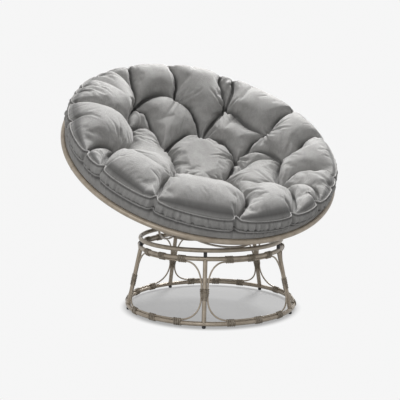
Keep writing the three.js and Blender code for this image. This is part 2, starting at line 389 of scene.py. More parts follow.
def joined(name: str, parts: Sequence[Piece]) -> Piece:
    """Joins objects that all sit at the origin into the first one.

    Args:
        name: the joined piece's name.
        parts: the objects.

    Returns:
        The joined piece.
    """
    with bpy.context.temp_override(active_object=parts[0], selected_editable_objects=list(parts)):
        bpy.ops.object.join()
    parts[0].name = name
    parts[0].data.name = name
    return parts[0]


def outward(angle: float) -> Points:
    """Returns the level direction at an angle from the front."""
    turn = math.radians(angle)
    return np.array([math.sin(turn), -math.cos(turn), 0.0])


def spot(angle: float, radius: float, height: float) -> Points:
    """Returns the point at an angle, a radius and a height about +Z."""
    return outward(angle) * radius + np.array([0, 0, height])


def circle(radius: float, height: float, steps: int) -> Points:
    """Returns points round a level circle about +Z."""
    angles = np.linspace(0, 2 * np.pi, steps, endpoint=False)
    return np.c_[radius * np.sin(angles), -radius * np.cos(angles), np.full(steps, height)]


def round_tube(middle: Points, first: Points, second: Points, radius: float, steps: int = 24) -> Points:
    """Returns points round a tube, for a weld.

    Args:
        middle: the circle's middle.
        first: the circle's first direction.
        second: its second direction, square to the first.
        radius: its radius.
        steps: how many points it has.

    Returns:
        The points.
    """
    turns = np.linspace(0, 2 * np.pi, steps, endpoint=False)[:, None]
    return middle + radius * (np.cos(turns) * first + np.sin(turns) * second)


def placed(points: Points, place: Matrix) -> Points:
    """Moves points by a matrix."""
    matrix = np.array(place)
    return np.asarray(points) @ matrix[:3, :3].T + matrix[:3, 3]


def closed_path(points: Points, place: Matrix) -> Path:
    """Returns the closed path through points that a matrix moves."""
    return Path(placed(points, place), closed=True)


def bezier(knots: Sequence[Points], steps: int) -> Points:
    """Returns points along a cubic curve.

    Args:
        knots: the curve's four knots.
        steps: how many steps it is cut into.

    Returns:
        The points, both ends among them.
    """
    share = np.linspace(0, 1, steps + 1)[:, None]
    rest = 1 - share
    first, second, third, fourth = (np.asarray(knot, float) for knot in knots)
    return rest**3 * first + 3 * rest**2 * share * second + 3 * rest * share**2 * third + share**3 * fourth


def joint(name: str) -> dict:
    """Returns the record's row on a joint."""
    return next(row for row in frame["record"]["behaviour"]["joints"] if row["name"] == name)


# Finishes


# The range in which each noise mostly lies is spread over the whole mix of colours or of gloss.
NOISE_MIDDLE = (0.3, 0.7)
CLOTH_NOISE_MIDDLE = (0.38, 0.62)
COAT_ROUGHNESS = 0.35
SHEEN_ROUGHNESS = 0.45
YARN_SHARE = 0.5
# How dark the painted shade in the creases and beside the seams is, as a share of the cloth's dark colour.
PAINTED_SHADE_DARKNESS = 0.35


def grain_group() -> NodeTree:
    """Makes the grain that every finish uses: a mottle, a fine grain and their joint height.

    Returns:
        The group's tree.
    """
    inputs = {
        "Vector": (VECTOR, None), "Mottle scale": (FLOAT, 30.0), "Grain scale": (FLOAT, 900.0),
        "Mottle share": (FLOAT, 0.5),
    }
    build = Group("Grain", "ShaderNodeTree", inputs, {"Mottle": FLOAT, "Grain": FLOAT, "Height": FLOAT})
    given = build.given
    mottle = build.noise(given["Vector"], given["Mottle scale"], detail=4.0, roughness=0.6)
    grain = build.noise(given["Vector"], given["Grain scale"], detail=2.0, roughness=0.5)
    large = build.math("MULTIPLY", mottle, given["Mottle share"])
    return build.put_out(Mottle=mottle, Grain=grain, Height=build.math("ADD", large, grain))


def weave_group() -> NodeTree:
    """Makes a plain weave from two crossed sets of threads, with uneven yarn.

    Returns:
        The group's tree.
    """
    inputs = {"Vector": (VECTOR, None), "Threads": (FLOAT, 900.0), "Unevenness": (FLOAT, 0.4)}
    build = Group("Plain weave", "ShaderNodeTree", inputs, {"Height": FLOAT, "Slub": FLOAT})
    given = build.given
    axes = build.node("ShaderNodeSeparateXYZ", {"Vector": given["Vector"]}).outputs
    turns = build.math("MULTIPLY", given["Threads"], math.pi)
    waves = [build.math("SINE", build.math("MULTIPLY", axes[axis], turns)) for axis in ("X", "Y")]
    slubs = []
    for stretch in ((60.0, 700.0, 1.0), (700.0, 60.0, 1.0)):
        scaled = build.out("ShaderNodeVectorMath", {0: given["Vector"], 1: stretch}, operation="MULTIPLY")
        slubs.append(build.noise(scaled, 1.0, detail=2.0, roughness=0.5))
    slub = build.math("MULTIPLY", build.math("ADD", *slubs), 0.5)
    uneven = build.math("MULTIPLY", slub, given["Unevenness"])
    crossed = build.math("MULTIPLY", build.math("MULTIPLY", *waves), 0.5)
    return build.put_out(Height=build.math("ADD", crossed, uneven), Slub=slub)


@dataclass(frozen=True)
class Finish:
    """A surface finish: two colours that a mottle mixes, its gloss and its grain."""

    name: str
    dark: Colour
    light: Colour
    roughness: Pair
    metallic: float
    mottle_scale: float
    grain_scale: float
    mottle_share: float
    bump: float
    bump_depth: float
    coat: float = 0.0
    sheen: float = 0.0
    specular: float = 0.5

    def material(self, grain: NodeTree, weave: NodeTree) -> Material:
        """Makes the material, with the grain on Object coordinates.

        Args:
            grain: the grain group.
            weave: the weave group.

        Returns:
            The material.
        """
        made = bpy.data.materials.new(self.name)
        made.use_nodes = True
        build = Tree(made.node_tree)
        shader = made.node_tree.nodes["Principled BSDF"].inputs
        for name, value in (
            ("Metallic", self.metallic), ("Specular IOR Level", self.specular),
            ("Coat Weight", self.coat), ("Coat Roughness", COAT_ROUGHNESS),
            ("Sheen Weight", self.sheen), ("Sheen Roughness", SHEEN_ROUGHNESS),
        ):
            shader[name].default_value = value
        place = build.node("ShaderNodeTexCoord").outputs
        texture = build.node("ShaderNodeGroup", {
            "Vector": place["Object"], "Mottle scale": self.mottle_scale, "Grain scale": self.grain_scale,
            "Mottle share": self.mottle_share,
        }, node_tree=grain).outputs
        colour, height = self.pattern(build, place["UV"], texture, weave)
        rough = build.spread(texture["Grain"], *NOISE_MIDDLE, *self.roughness)
        bump = build.out(
            "ShaderNodeBump", {"Height": height, "Strength": self.bump, "Distance": self.bump_depth},
        )
        for name, socket in (("Base Color", colour), ("Roughness", rough), ("Normal", bump)):
            build.tree.links.new(socket, shader[name])
        return made

    def pattern(
        self, build: Tree, _place: Socket, texture: Sockets, _weave: NodeTree,
    ) -> tuple[Socket, Socket]:
        """Returns the sockets of the mixed colour and of the grain's height."""
        tone = build.spread(texture["Mottle"], *NOISE_MIDDLE, 0.0, 1.0)
        return build.mixed(tone, (*self.dark, 1.0), (*self.light, 1.0)), texture["Height"]


@dataclass(frozen=True)
class ClothFinish(Finish):
    """A woven cloth finish, which adds a weave on the piece's own UV map and painted shade in its creases and
    beside its seams.
    """

    threads: float = 850.0
    unevenness: float = 0.5
    # How far the painted shade in the creases and beside the seams darkens the cloth.
    fold_shade: float = 0.5

    def pattern(self, build: Tree, place: Socket, texture: Sockets, weave: NodeTree) -> tuple[Socket, Socket]:
        """Adds the weave and the painted shade in the creases and beside the seams.

        Args:
            build: the material's tree.
            place: the UV coordinates.
            texture: the grain group's outputs.
            weave: the weave group.

        Returns:
            The sockets of the colour and of the height.
        """
        cloth = build.node("ShaderNodeGroup", {
            "Vector": place, "Threads": self.threads, "Unevenness": self.unevenness,
        }, node_tree=weave).outputs
        yarn = build.math("MULTIPLY", cloth["Slub"], YARN_SHARE)
        tone = build.math("ADD", build.math("MULTIPLY", texture["Mottle"], 1 - YARN_SHARE), yarn)
        tone = build.spread(tone, *CLOTH_NOISE_MIDDLE, 0.0, 1.0)
        plain = build.mixed(tone, (*self.dark, 1.0), (*self.light, 1.0))
        # Painted shade: the crease attribute mixes the colour towards a darker one in the creases and beside
        # the seams.
        crease = build.node("ShaderNodeAttribute", attribute_name="crease").outputs["Fac"]
        shade = build.math("MULTIPLY", crease, self.fold_shade)
        painted_shade_colour = (*(PAINTED_SHADE_DARKNESS * part for part in self.dark), 1.0)
        return build.mixed(shade, plain, painted_shade_colour), build.math("ADD", cloth["Height"], texture["Height"])


PAINT = Finish(
    "taupe powder coat", (0.325, 0.268, 0.202), (0.465, 0.398, 0.315), (0.30, 0.46), 0.25,
    mottle_scale=38.0, grain_scale=1400.0, mottle_share=0.4, bump=0.25, bump_depth=0.0004, coat=0.15,
)
STRAND = Finish(
    "wound strand", (0.15, 0.115, 0.078), (0.44, 0.385, 0.31), (0.42, 0.62), 0.0,
    mottle_scale=90.0, grain_scale=1500.0, mottle_share=0.6, bump=0.45, bump_depth=0.0004,
)
WELD = Finish(
    "painted weld", (0.20, 0.168, 0.128), (0.31, 0.27, 0.215), (0.42, 0.62), 0.2,
    mottle_scale=220.0, grain_scale=700.0, mottle_share=1.4, bump=0.8, bump_depth=0.0012,
)
PLASTIC = Finish(
    "black plastic", (0.010, 0.010, 0.011), (0.022, 0.022, 0.023), (0.42, 0.62), 0.0,
    mottle_scale=120.0, grain_scale=1800.0, mottle_share=0.3, bump=0.3, bump_depth=0.0003,
)
# The cloth's fold_shade paints shade into its colour in the creases and beside the seams.
CLOTH = ClothFinish(
    "grey cushion cloth", (0.275, 0.270, 0.262), (0.385, 0.380, 0.371), (0.82, 0.96), 0.0,
    mottle_scale=16.0, grain_scale=520.0, mottle_share=0.5, bump=0.55, bump_depth=0.0007,
    sheen=0.20, specular=0.25, fold_shade=0.9,
)
PIPING = ClothFinish(
    "cushion piping", (0.30, 0.294, 0.285), (0.42, 0.413, 0.402), (0.8, 0.95), 0.0,
    mottle_scale=60.0, grain_scale=900.0, mottle_share=0.5, bump=0.5, bump_depth=0.0005,
    sheen=0.25, specular=0.25, threads=1.0, fold_shade=0.0,
)
THREAD = Finish(
    "sewing thread", (0.30, 0.29, 0.275), (0.46, 0.45, 0.43), (0.55, 0.75), 0.0,
    mottle_scale=400.0, grain_scale=3000.0, mottle_share=0.5, bump=0.3, bump_depth=0.0002,
)


@dataclass
class Workshop:
    """The node trees and materials that the sub-assemblies share."""

    rod: NodeTree = field(default_factory=rod_tree)
    winding: NodeTree = field(default_factory=winding_tree)
    stitches: NodeTree = field(default_factory=stitch_tree)
    grain: NodeTree = field(default_factory=grain_group)
    weave: NodeTree = field(default_factory=weave_group)
    materials: dict[str, Material] = field(default_factory=dict)

    def material(self, finish: Finish) -> Material:
        """Makes the material of a finish, once.

        Args:
            finish: the finish.

        Returns:
            Its material.
        """
        if finish.name not in self.materials:
            self.materials[finish.name] = finish.material(self.grain, self.weave)
        return self.materials[finish.name]

    def rods(self, name: str, paths: Sequence[Path], radius: float, finish: Finish, sides: int = 20) -> Piece:
        """Sweeps a round rod along each path and returns them as one piece."""
        sizes = {"Radius": radius, "Sides": sides, "Material": self.material(finish)}
        return grown(name, paths_mesh(name, paths), self.rod, **sizes)


def hand_over(piece: Piece, body: Body, nodes: Sequence[str] = ()) -> None:
    """Makes a piece ride on its body and its nodes, and reports it.

    Args:
        piece: the finished piece.
        body: the body that it rides on.
        nodes: the nodes that it stands for.
    """
    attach(piece, body.value)
    if nodes:
        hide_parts(*nodes)
    log.info("%s: %d faces on %s", piece.name, len(piece.data.polygons), body.value)


# Stand


@dataclass
class Stand:
    """The ring stand: three rings, five leaning legs with glides and spacers, and bound wire loops."""

    shop: Workshop
    leg_count: int = 5
    leg_turn: float = -28.3
    base_radius: float = 0.320
    upper_radius: float = 0.271
    seat_radius: float = 0.269
    tube: float = 0.008
    base_height: float = 0.0163
    upper_height: float = 0.237
    seat_height: float = 0.267
    base_seam: float = 131.0
    upper_seam: float = 95.0
    seat_seam: float = 203.0
    rod: float = 0.003
    rod_gap: float = 0.0004
    top_corner: Pair = (0.058, 0.088)
    base_corner: Pair = (0.078, 0.076)
    corner_pull_share: float = 0.6
    winding_length: float = 0.030
    winding_turns: int = 4
    winding_width_share: float = 0.41
    winding_lean: float = 0.12
    winding_jitter: float = 0.03
    top_spread: float = 18.0
    base_spread: float = 19.0
    leg_winding_length: float = 0.034
    leg_winding_height: float = 0.117
    leg_winding_turns: int = 7
    leg_winding_width_share: float = 0.46
    leg_winding_lean: float = 0.10
    leg_winding_jitter: float = 0.02
    tail_turns: int = 4
    tail_scale: float = 0.72
    tail_drop: float = 0.004
    top_gap: float = 0.0015
    strand_height: float = 0.0013
    outline_points: int = 28
    weld_bead: float = 0.0022
    weld_most: float = 1.04
    weld_least: float = 0.25
    glide_radius: float = 0.007
    glide_sink: float = 0.55
    spacer_radius: float = 0.007
    spacer_collar: float = 0.0005
    spacer_sink: float = 0.75

    def __post_init__(self) -> None:
        """Works out the stand's place from the joint that the bowl turns about."""
        east, north, _ = joint("bowl_turn")["pos_m"]
        turn = Matrix.Rotation(math.radians(self.leg_turn), 4, "Z")
        self.place = Matrix.Translation((east, north, 0.0)) @ turn
        self.bay = 360.0 / self.leg_count
        self.rod_offset = self.tube + self.rod_gap + self.rod
        self.loop_low = self.base_height + self.rod_offset
        self.loop_high = self.upper_height - self.rod_offset

    def flare(self, height: float, low: float, high: float) -> float:
        """Returns the stand's radius at a height between two heights where it meets the rings."""
        share = (height - low) / (high - low)
        return self.base_radius + share * (self.upper_radius - self.base_radius)

    def leg_point(self, height: float, angle: float) -> Points:
        """Returns a point on the middle line of the leg at an angle, in the stand's own frame."""
        return spot(angle, self.flare(height, self.base_height, self.upper_height), height)

    def rings(self) -> None:
        """Builds the three rings, each with the seam of its butt weld."""
        for node, radius, height, seam in (
            ("base_ring", self.base_radius, self.base_height, self.base_seam),
            ("stand_ring", self.upper_radius, self.upper_height, self.upper_seam),
            ("seat_ring", self.seat_radius, self.seat_height, self.seat_seam),
        ):
            line = closed_path(circle(radius, height, 240), self.place)
            tube = self.shop.rods(node + "_tube", [line], self.tube, PAINT, 28)
            around = round_tube(spot(seam, radius, height), outward(seam), UP, self.tube)
            bead = self.shop.rods("seam", [closed_path(around, self.place)], self.weld_bead / 3, WELD, 8)
            hand_over(joined(node + "_tube", [tube, bead]), Body.STAND, [node])

    def weld_line(self, angle: float, height: float, sign: float) -> Path:
        """Returns the saddle line where a leg meets a ring's tube.

        Args:
            angle: the leg's angle.
            height: the ring's height.
            sign: 1 where the leg comes from above and -1 from below.

        Returns:
            The closed line of the fillet weld, in place.
        """
        middle = placed(self.leg_point(height, angle), self.place)
        axis = placed(self.leg_point(height + sign * 0.01, angle), self.place) - middle
        axis /= np.linalg.norm(axis)
        across = np.cross(axis, UP)
        across /= np.linalg.norm(across)
        third = np.cross(axis, across)
        turns = np.linspace(0, 2 * np.pi, 32, endpoint=False)[:, None]
        radial = self.tube * np.sin(turns)
        most, least = self.tube * self.weld_most, self.tube * self.weld_least
        lift = np.sqrt(np.maximum(most**2 - radial**2, least**2))
        return Path(middle + self.tube * np.cos(turns) * across + radial * third + lift * axis, closed=True)

    def legs(self) -> None:
        """Builds the five legs with a fillet weld at each end."""
        for index in range(self.leg_count):
            angle = index * self.bay
            foot, head = (self.leg_point(height, angle) for height in (self.base_height, self.upper_height))
            line = np.linspace(placed(foot, self.place), placed(head, self.place), 12)
            rod = self.shop.rods("leg", [Path(line)], self.tube, PAINT, 28)
            welds = [
                self.weld_line(angle, self.base_height, 1.0), self.weld_line(angle, self.upper_height, -1.0),
            ]
            beads = self.shop.rods("weld", welds, self.weld_bead / 2, WELD, 8)
            name = f"leg_{index + 1}"
            hand_over(joined(name + "_tube", [rod, beads]), Body.STAND, [name])

    def turned(self, name: str, profile: Sequence[Pair], middle: Points, steps: int = 32) -> Piece:
        """Turns a profile about a vertical axis.

        Args:
            name: the piece's name.
            profile: radii and heights from the foot to the top, with both ends on the axis.
            middle: where the axis stands.
            steps: how many sides the piece has.

        Returns:
            The closed piece.
        """
        angles = np.linspace(0, 2 * np.pi, steps, endpoint=False)
        inner = profile[1:-1]
        points = [
            (radius * math.cos(a), radius * math.sin(a), height) for radius, height in inner for a in angles
        ]
        foot = len(points)
        points += [(0, 0, profile[0][1]), (0, 0, profile[-1][1])]
        faces: list = []
        for row in range(len(inner) - 1):
            for step in range(steps):
                near, far = row * steps + step, row * steps + (step + 1) % steps
                faces.append((near, far, far + steps, near + steps))
        last = (len(inner) - 1) * steps
        for step in range(steps):
            faces.append((foot, (step + 1) % steps, step))
            faces.append((foot + 1, last + step, last + (step + 1) % steps))
        return new_mesh(name, np.array(points) + middle, faces=faces)

    def feet(self) -> None:
        """Builds the black glides under the base ring and the spacers between the upper rings."""
        radius, top = self.glide_radius, self.base_height - self.glide_sink * self.tube
        glide = [
            (0, 0.0), (0.0046, 0.0), (0.0056, 0.0004), (radius - 0.0004, 0.0024), (radius, 0.0036),
            (radius, 0.0068), (radius - 0.0004, 0.0078), (radius - 0.0016, 0.0084),
            (radius - 0.0016, top), (0, top),
        ]
        sink = self.spacer_sink * self.tube
        low, high = self.upper_height + sink, self.seat_height - sink
        wide, collar = self.spacer_radius, self.spacer_collar
        spacer = [
            (0, low), (wide, low), (wide, low + 3 * collar), (wide - collar / 2, low + 3.6 * collar),
            (wide - collar, low + 4.6 * collar), (wide - collar, high - 4.6 * collar),
            (wide - collar / 2, high - 3.6 * collar), (wide, high - 3 * collar), (wide, high), (0, high),
        ]
        middle_radius = (self.upper_radius + self.seat_radius) / 2
        kinds = (("glide", glide, self.base_radius), ("spacer", spacer, middle_radius))
        for index in range(self.leg_count):
            for kind, profile, distance in kinds:
                name = f"{kind}_{index + 1}"
                middle = placed(outward(index * self.bay) * distance, self.place)
                piece = self.turned(name + "_post", profile, middle)
                piece.data.materials.append(self.shop.material(PLASTIC))
                hand_over(piece, Body.STAND, [name])

    def loop_side(self, height: float) -> float:
        """Returns a loop's half width along the bay at a height."""
        half_bay = math.radians(self.bay / 2)
        return half_bay * self.flare(height, self.loop_low, self.loop_high) - self.rod_offset

    def rounded(self, start: Pair, corner: Pair, end: Pair) -> Points:
        """Rounds a loop's corner.

        Args:
            start: where the curve leaves the first side.
            corner: where the two sides would meet.
            end: where it joins the second side.

        Returns:
            The points of the curve.
        """
        start, corner, end = (np.array(point, float) for point in (start, corner, end))
        share = self.corner_pull_share
        return bezier((start, start + share * (corner - start), end + share * (corner - end), end), 16)

    def loop_outline(self) -> Points:
        """Draws a loop flat.

        Returns:
            The outline as the width along the bay and the height.
        """
        side = self.loop_side
        low, high = self.loop_low, self.loop_high
        shoulder, knee = high - self.top_corner[1], low + self.base_corner[1]
        top_end, base_end = side(high) - self.top_corner[0], side(low) - self.base_corner[0]
        right = np.vstack([
            np.linspace((0, high), (top_end, high), 8, endpoint=False),
            self.rounded((top_end, high), (side(high), high), (side(shoulder), shoulder)),
            np.linspace((side(shoulder), shoulder), (side(knee), knee), 10, endpoint=False)[1:],
            self.rounded((side(knee), knee), (side(low), low), (base_end, low)),
            np.linspace((base_end, low), (0, low), 8, endpoint=False)[1:],
        ])
        return np.vstack([right, [(0, low)], right[:0:-1] * (-1, 1)])

    def loops(self) -> None:
        """Builds the five closed loops of thin rod, each with its ring windings."""
        outline = self.loop_outline()
        for index in range(self.leg_count):
            middle = (index + 0.5) * self.bay
            points = []
            for width, height in outline:
                radius = self.flare(height, self.loop_low, self.loop_high)
                points.append(spot(middle + math.degrees(width / radius), radius, height))
            name = f"loop_{index + 1}"
            rod = self.shop.rods(name + "_rod", [closed_path(points, self.place)], self.rod, PAINT, 14)
            hand_over(rod, Body.STAND, [name])
            hand_over(self.ring_windings(index, middle), Body.STAND, [name])

    def bound_outline(self, offset: float, pair: bool) -> Piece:
        """Makes the outline of a strand pulled tight round a tube and one rod, or a rod on each side.

        Args:
            offset: how far the rod's middle is from the tube's, along the outline's first axis.
            pair: whether there is a second rod on the other side.

        Returns:
            The outline as an object of bare edges, in its own plane.
        """
        big, small = self.tube + self.strand_height, self.rod + self.strand_height
        turns = np.linspace(0, 2 * np.pi, 180, endpoint=False)
        normal = np.c_[np.cos(turns), np.sin(turns)]
        reach = np.maximum(big, small + normal[:, 0] * offset)
        if pair:
            reach = np.maximum(reach, small - normal[:, 0] * offset)
        slope = (np.roll(reach, -1) - np.roll(reach, 1)) / (2 * (turns[1] - turns[0]))
        across = np.c_[-normal[:, 1], normal[:, 0]]
        hull = reach[:, None] * normal + slope[:, None] * across
        closed = np.vstack([hull, hull[:1]])
        length = np.r_[0, np.cumsum(np.linalg.norm(np.diff(closed, axis=0), axis=1))]
        even = np.linspace(0, length[-1], self.outline_points, endpoint=False)
        points = np.c_[np.interp(even, length, closed[:, 0]), np.interp(even, length, closed[:, 1]), 0 * even]
        return paths_mesh("outline", [Path(points, closed=True)])

    def winding(self, name: str, line: Sequence[Points], outline: Piece, **settings: object) -> Piece:
        """Winds the strand along a line.

        Args:
            name: the piece's name.
            line: the line's points in the stand's own frame.
            outline: the outline of one turn.
            settings: the winding tree's other inputs.

        Returns:
            The winding, in place.
        """
        path = paths_mesh(name, [Path(placed(np.array(line), self.place))])
        strand = {"Outline": outline, "Height": self.strand_height, "Material": self.shop.material(STRAND)}
        return grown(name, path, self.shop.winding, **strand, **settings)

    def ring_windings(self, index: int, middle: float) -> Piece:
        """Winds strand round a ring and a loop's rod at six places in one bay.

        Args:
            index: the bay's number.
            middle: the angle of its middle.

        Returns:
            The six windings as one piece.
        """
        parts = []
        width = self.winding_width_share * self.winding_length / self.winding_turns
        for radius, height, spread, offset in (
            (self.upper_radius, self.upper_height, self.top_spread, self.rod_offset),
            (self.base_radius, self.base_height, self.base_spread, -self.rod_offset),
        ):
            outline = self.bound_outline(offset, pair=False)
            outline.data.transform(Matrix.Rotation(math.pi / 2, 4, "Z"))
            reach = math.degrees(self.winding_length / 2 / radius) * (1 - 1 / self.winding_turns)
            for number, shift in enumerate((-spread, 0.0, spread)):
                angles = np.linspace(middle + shift - reach, middle + shift + reach, 7)
                parts.append(self.winding(
                    "winding", [spot(angle, radius, height) for angle in angles], outline,
                    Turns=self.winding_turns, Width=width, Lean=self.winding_lean, Jitter=self.winding_jitter,
                    Seed=10 * index + number,
                ))
            bpy.data.objects.remove(outline)
        return joined(f"loop_{index + 1}_windings", parts)

    def leg_windings(self) -> None:
        """Winds strand round each leg and the two loops beside it, with a tail at the lower end."""
        outline = self.bound_outline(self.rod_offset, pair=True)
        half = self.leg_winding_length / 2
        width = self.leg_winding_width_share * (self.leg_winding_length + self.tail_drop - self.top_gap)
        heights = np.linspace(
            self.leg_winding_height + half - self.top_gap, self.leg_winding_height - half - self.tail_drop, 7,
        )
        for index in range(self.leg_count):
            name = f"leg_winding_{index + 1}"
            piece = self.winding(
                name + "_strand", [self.leg_point(height, index * self.bay) for height in heights], outline,
                Turns=self.leg_winding_turns, Width=width / self.leg_winding_turns,
                Lean=self.leg_winding_lean, Jitter=self.leg_winding_jitter,
                Tail_turns=self.tail_turns, Tail_scale=self.tail_scale, Seed=50 + index,
            )
            hand_over(piece, Body.STAND, [name])
        bpy.data.objects.remove(outline)

    def build(self) -> None:
        """Builds the whole stand."""
        for step in (self.rings, self.legs, self.feet, self.loops, self.leg_windings):
            step()


# Bowl


@dataclass
class Bowl:
    """The loose bowl: a big rim, ten bent ribs and a small bottom ring."""

    shop: Workshop
    rim_radius: float = 0.532
    rim_tube: float = 0.010
    depth: float = 0.330
    bottom_radius: float = 0.145
    bottom_tube: float = 0.006
    rib_count: int = 10
    rib_rod: float = 0.004
    rib_rim_angle: float = 60.0
    rib_bottom_angle: float = 30.0
    rib_rim_pull: float = 0.110
    rib_bottom_pull: float = 0.150
    rim_seam: float = -81.0
    rim_bead: float = 0.0009
    rib_bead: float = 0.0014
    rib_weld_share: float = 0.98

    def __post_init__(self) -> None:
        """Works out the bowl's place from its rim and from the axis that the cushion lifts along."""
        low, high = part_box("bowl_rim")
        _, back, rise = joint("cushion_lift")["axis"]
        tilt = Matrix.Rotation(math.atan2(-back, rise), 4, "X")
        self.place = Matrix.Translation((low + high) / 2) @ tilt

    def rib_line(self, steps: int = 40) -> Points:
        """Bends a rib from the rim to the bottom ring.

        Args:
            steps: how many steps the line has.

        Returns:
            The rib's middle line as radii and heights in the bowl's own frame.
        """
        rim, bottom = np.array([self.rim_radius, 0.0]), np.array([self.bottom_radius, -self.depth])
        rim_turn, bottom_turn = math.radians(self.rib_rim_angle), math.radians(self.rib_bottom_angle)
        rim_lead = np.array([-math.cos(rim_turn), -math.sin(rim_turn)]) * self.rib_rim_pull
        bottom_lead = np.array([math.cos(bottom_turn), math.sin(bottom_turn)]) * self.rib_bottom_pull
        return bezier((rim, rim + rim_lead, bottom + bottom_lead, bottom), steps)

    def rings(self) -> None:
        """Builds the rim with its butt weld, and the bottom ring."""
        line = closed_path(circle(self.rim_radius, 0, 360), self.place)
        rim = self.shop.rods("rim", [line], self.rim_tube, PAINT, 32)
        out = outward(self.rim_seam)
        seam = closed_path(round_tube(out * self.rim_radius, out, UP, self.rim_tube), self.place)
        bead = self.shop.rods("seam", [seam], self.rim_bead, WELD, 8)
        hand_over(joined("bowl_rim_tube", [rim, bead]), Body.BOWL, ["bowl_rim"])
        line = closed_path(circle(self.bottom_radius, -self.depth, 160), self.place)
        bottom = self.shop.rods("bowl_bottom_ring_tube", [line], self.bottom_tube, PAINT, 24)
        hand_over(bottom, Body.BOWL, ["bowl_bottom_ring"])

    def ribs(self) -> None:
        """Builds the ten ribs, each welded to the rim and to the bottom ring."""
        line = self.rib_line()
        for index in range(self.rib_count):
            side = outward(index * 360.0 / self.rib_count)
            points = line[:, :1] * side + line[:, 1:] * UP
            rod = self.shop.rods("rib", [Path(placed(points, self.place))], self.rib_rod, PAINT, 16)
            welds = []
            for end, beside, reach in ((0, 1, self.rim_tube), (-1, -2, self.bottom_tube)):
                towards = points[beside] - points[end]
                towards /= np.linalg.norm(towards)
                across = np.cross(side, UP)
                middle = points[end] + towards * reach * self.rib_weld_share
                ring = round_tube(middle, across, np.cross(towards, across), self.rib_rod)
                welds.append(closed_path(ring, self.place))
            beads = self.shop.rods("weld", welds, self.rib_bead, WELD, 8)
            name = f"rib_{index + 1}"
            hand_over(joined(name + "_rod", [rod, beads]), Body.BOWL, [name])

    def build(self) -> None:
        """Builds the whole bowl."""
        self.rings()
        self.ribs()


# Cushion


class Tuft(Enum):
    """The points where the top panel is tied down: each one's angle and radius in the bowl."""

    BACK_LEFT = (-151.5, 0.372)
    LEFT = (-130.0, 0.308)
    NEAR_LEFT = (-86.0, 0.360)
    FRONT_LEFT = (-42.0, 0.310)
    FRONT = (7.0, 0.314)
    FRONT_RIGHT = (48.0, 0.344)
    RIGHT = (82.0, 0.358)
    FAR_RIGHT = (108.0, 0.383)
    BACK_RIGHT = (144.0, 0.390)
    BACK = (177.0, 0.379)
    SEAT_LEFT = (-139.0, 0.168)
    SEAT_BACK = (155.0, 0.231)
    SEAT_RIGHT = (105.0, 0.209)
    SEAT_FRONT = (55.0, 0.128)
    SEAT_NEAR = (-70.0, 0.100)


Knot = Tuft | Pair


def plan(knot: Knot) -> Points:
    """Returns the plan place of a tuft, or of an angle and a radius."""
    angle, radius = knot.value if isinstance(knot, Tuft) else knot
    return outward(angle)[:2] * radius


def bell(gap: Points, width: float) -> Points:
    """Returns 1 where a gap is nothing, and less beside it by a bell curve of a width."""
    return np.exp(-((gap / width) ** 2))


def tuft_gaps(x: Points, y: Points) -> Points:
    """Returns how far plan points are from each tuft."""
    tufts = np.array([plan(tuft) for tuft in Tuft])
    return np.hypot(x[..., None] - tufts[:, 0], y[..., None] - tufts[:, 1])


def coordinates(mesh: bpy.types.Mesh) -> Points:
    """Returns the points of a mesh.

    Args:
        mesh: the mesh.

    Returns:
        One row of three numbers for each point.
    """
    flat = np.zeros(3 * len(mesh.vertices))
    mesh.vertices.foreach_get("co", flat)
    return flat.reshape(-1, 3)


@dataclass(frozen=True)
class Crease:
    """A line along which the top panel is pulled down between two tufts, or from a tuft to the edge.

    The knots are tufts, or angles and radii in the bowl. The pulls say how hard the line is held, as a share
    from 0 to 1.
    """

    knots: tuple[Knot, ...]
    start_pull: float = 0.985
    middle_pull: float = 0.95
    end_pull: float = 0.985

    def line(self, count: int = 72) -> tuple[Points, Points]:
        """Draws the crease as a smooth line through its knots.

        Args:
            count: how many points it has.

        Returns:
            The plan points, and the pull at each.
        """
        spots = np.array([plan(knot) for knot in self.knots])
        length = np.r_[0, np.cumsum(np.linalg.norm(np.diff(spots, axis=0), axis=1))]
        slope = np.gradient(spots, length, axis=0)
        share = np.linspace(0, 1, count)
        place = share * length[-1]
        part = np.clip(np.searchsorted(length, place, side="right") - 1, 0, len(spots) - 2)
        gap = (length[part + 1] - length[part])[:, None]
        step = (place - length[part])[:, None] / gap
        points = (1 + 2 * step) * (1 - step) ** 2 * spots[part] + step * (1 - step) ** 2 * gap * slope[part]
        points += step**2 * (3 - 2 * step) * spots[part + 1] - step**2 * (1 - step) * gap * slope[part + 1]
        ends = self.start_pull + (self.end_pull - self.start_pull) * share
        pull = self.middle_pull + (ends - self.middle_pull) * np.abs(2 * share - 1) ** 1.5
        return points, pull

    def nearest(self, x: Points, y: Points) -> tuple[Points, Points]:
        """Measures plan points against the crease.

        Args:
            x: how far each point is to the right.
            y: how far each point is to the back.

        Returns:
            Each point's distance to the crease, and the pull where it is nearest.
        """
        line, pull = self.line()
        gaps = np.hypot(x[..., None] - line[:, 0], y[..., None] - line[:, 1])
        nearest = gaps.argmin(-1)
        return np.take_along_axis(gaps, nearest[..., None], -1)[..., 0], pull[nearest]


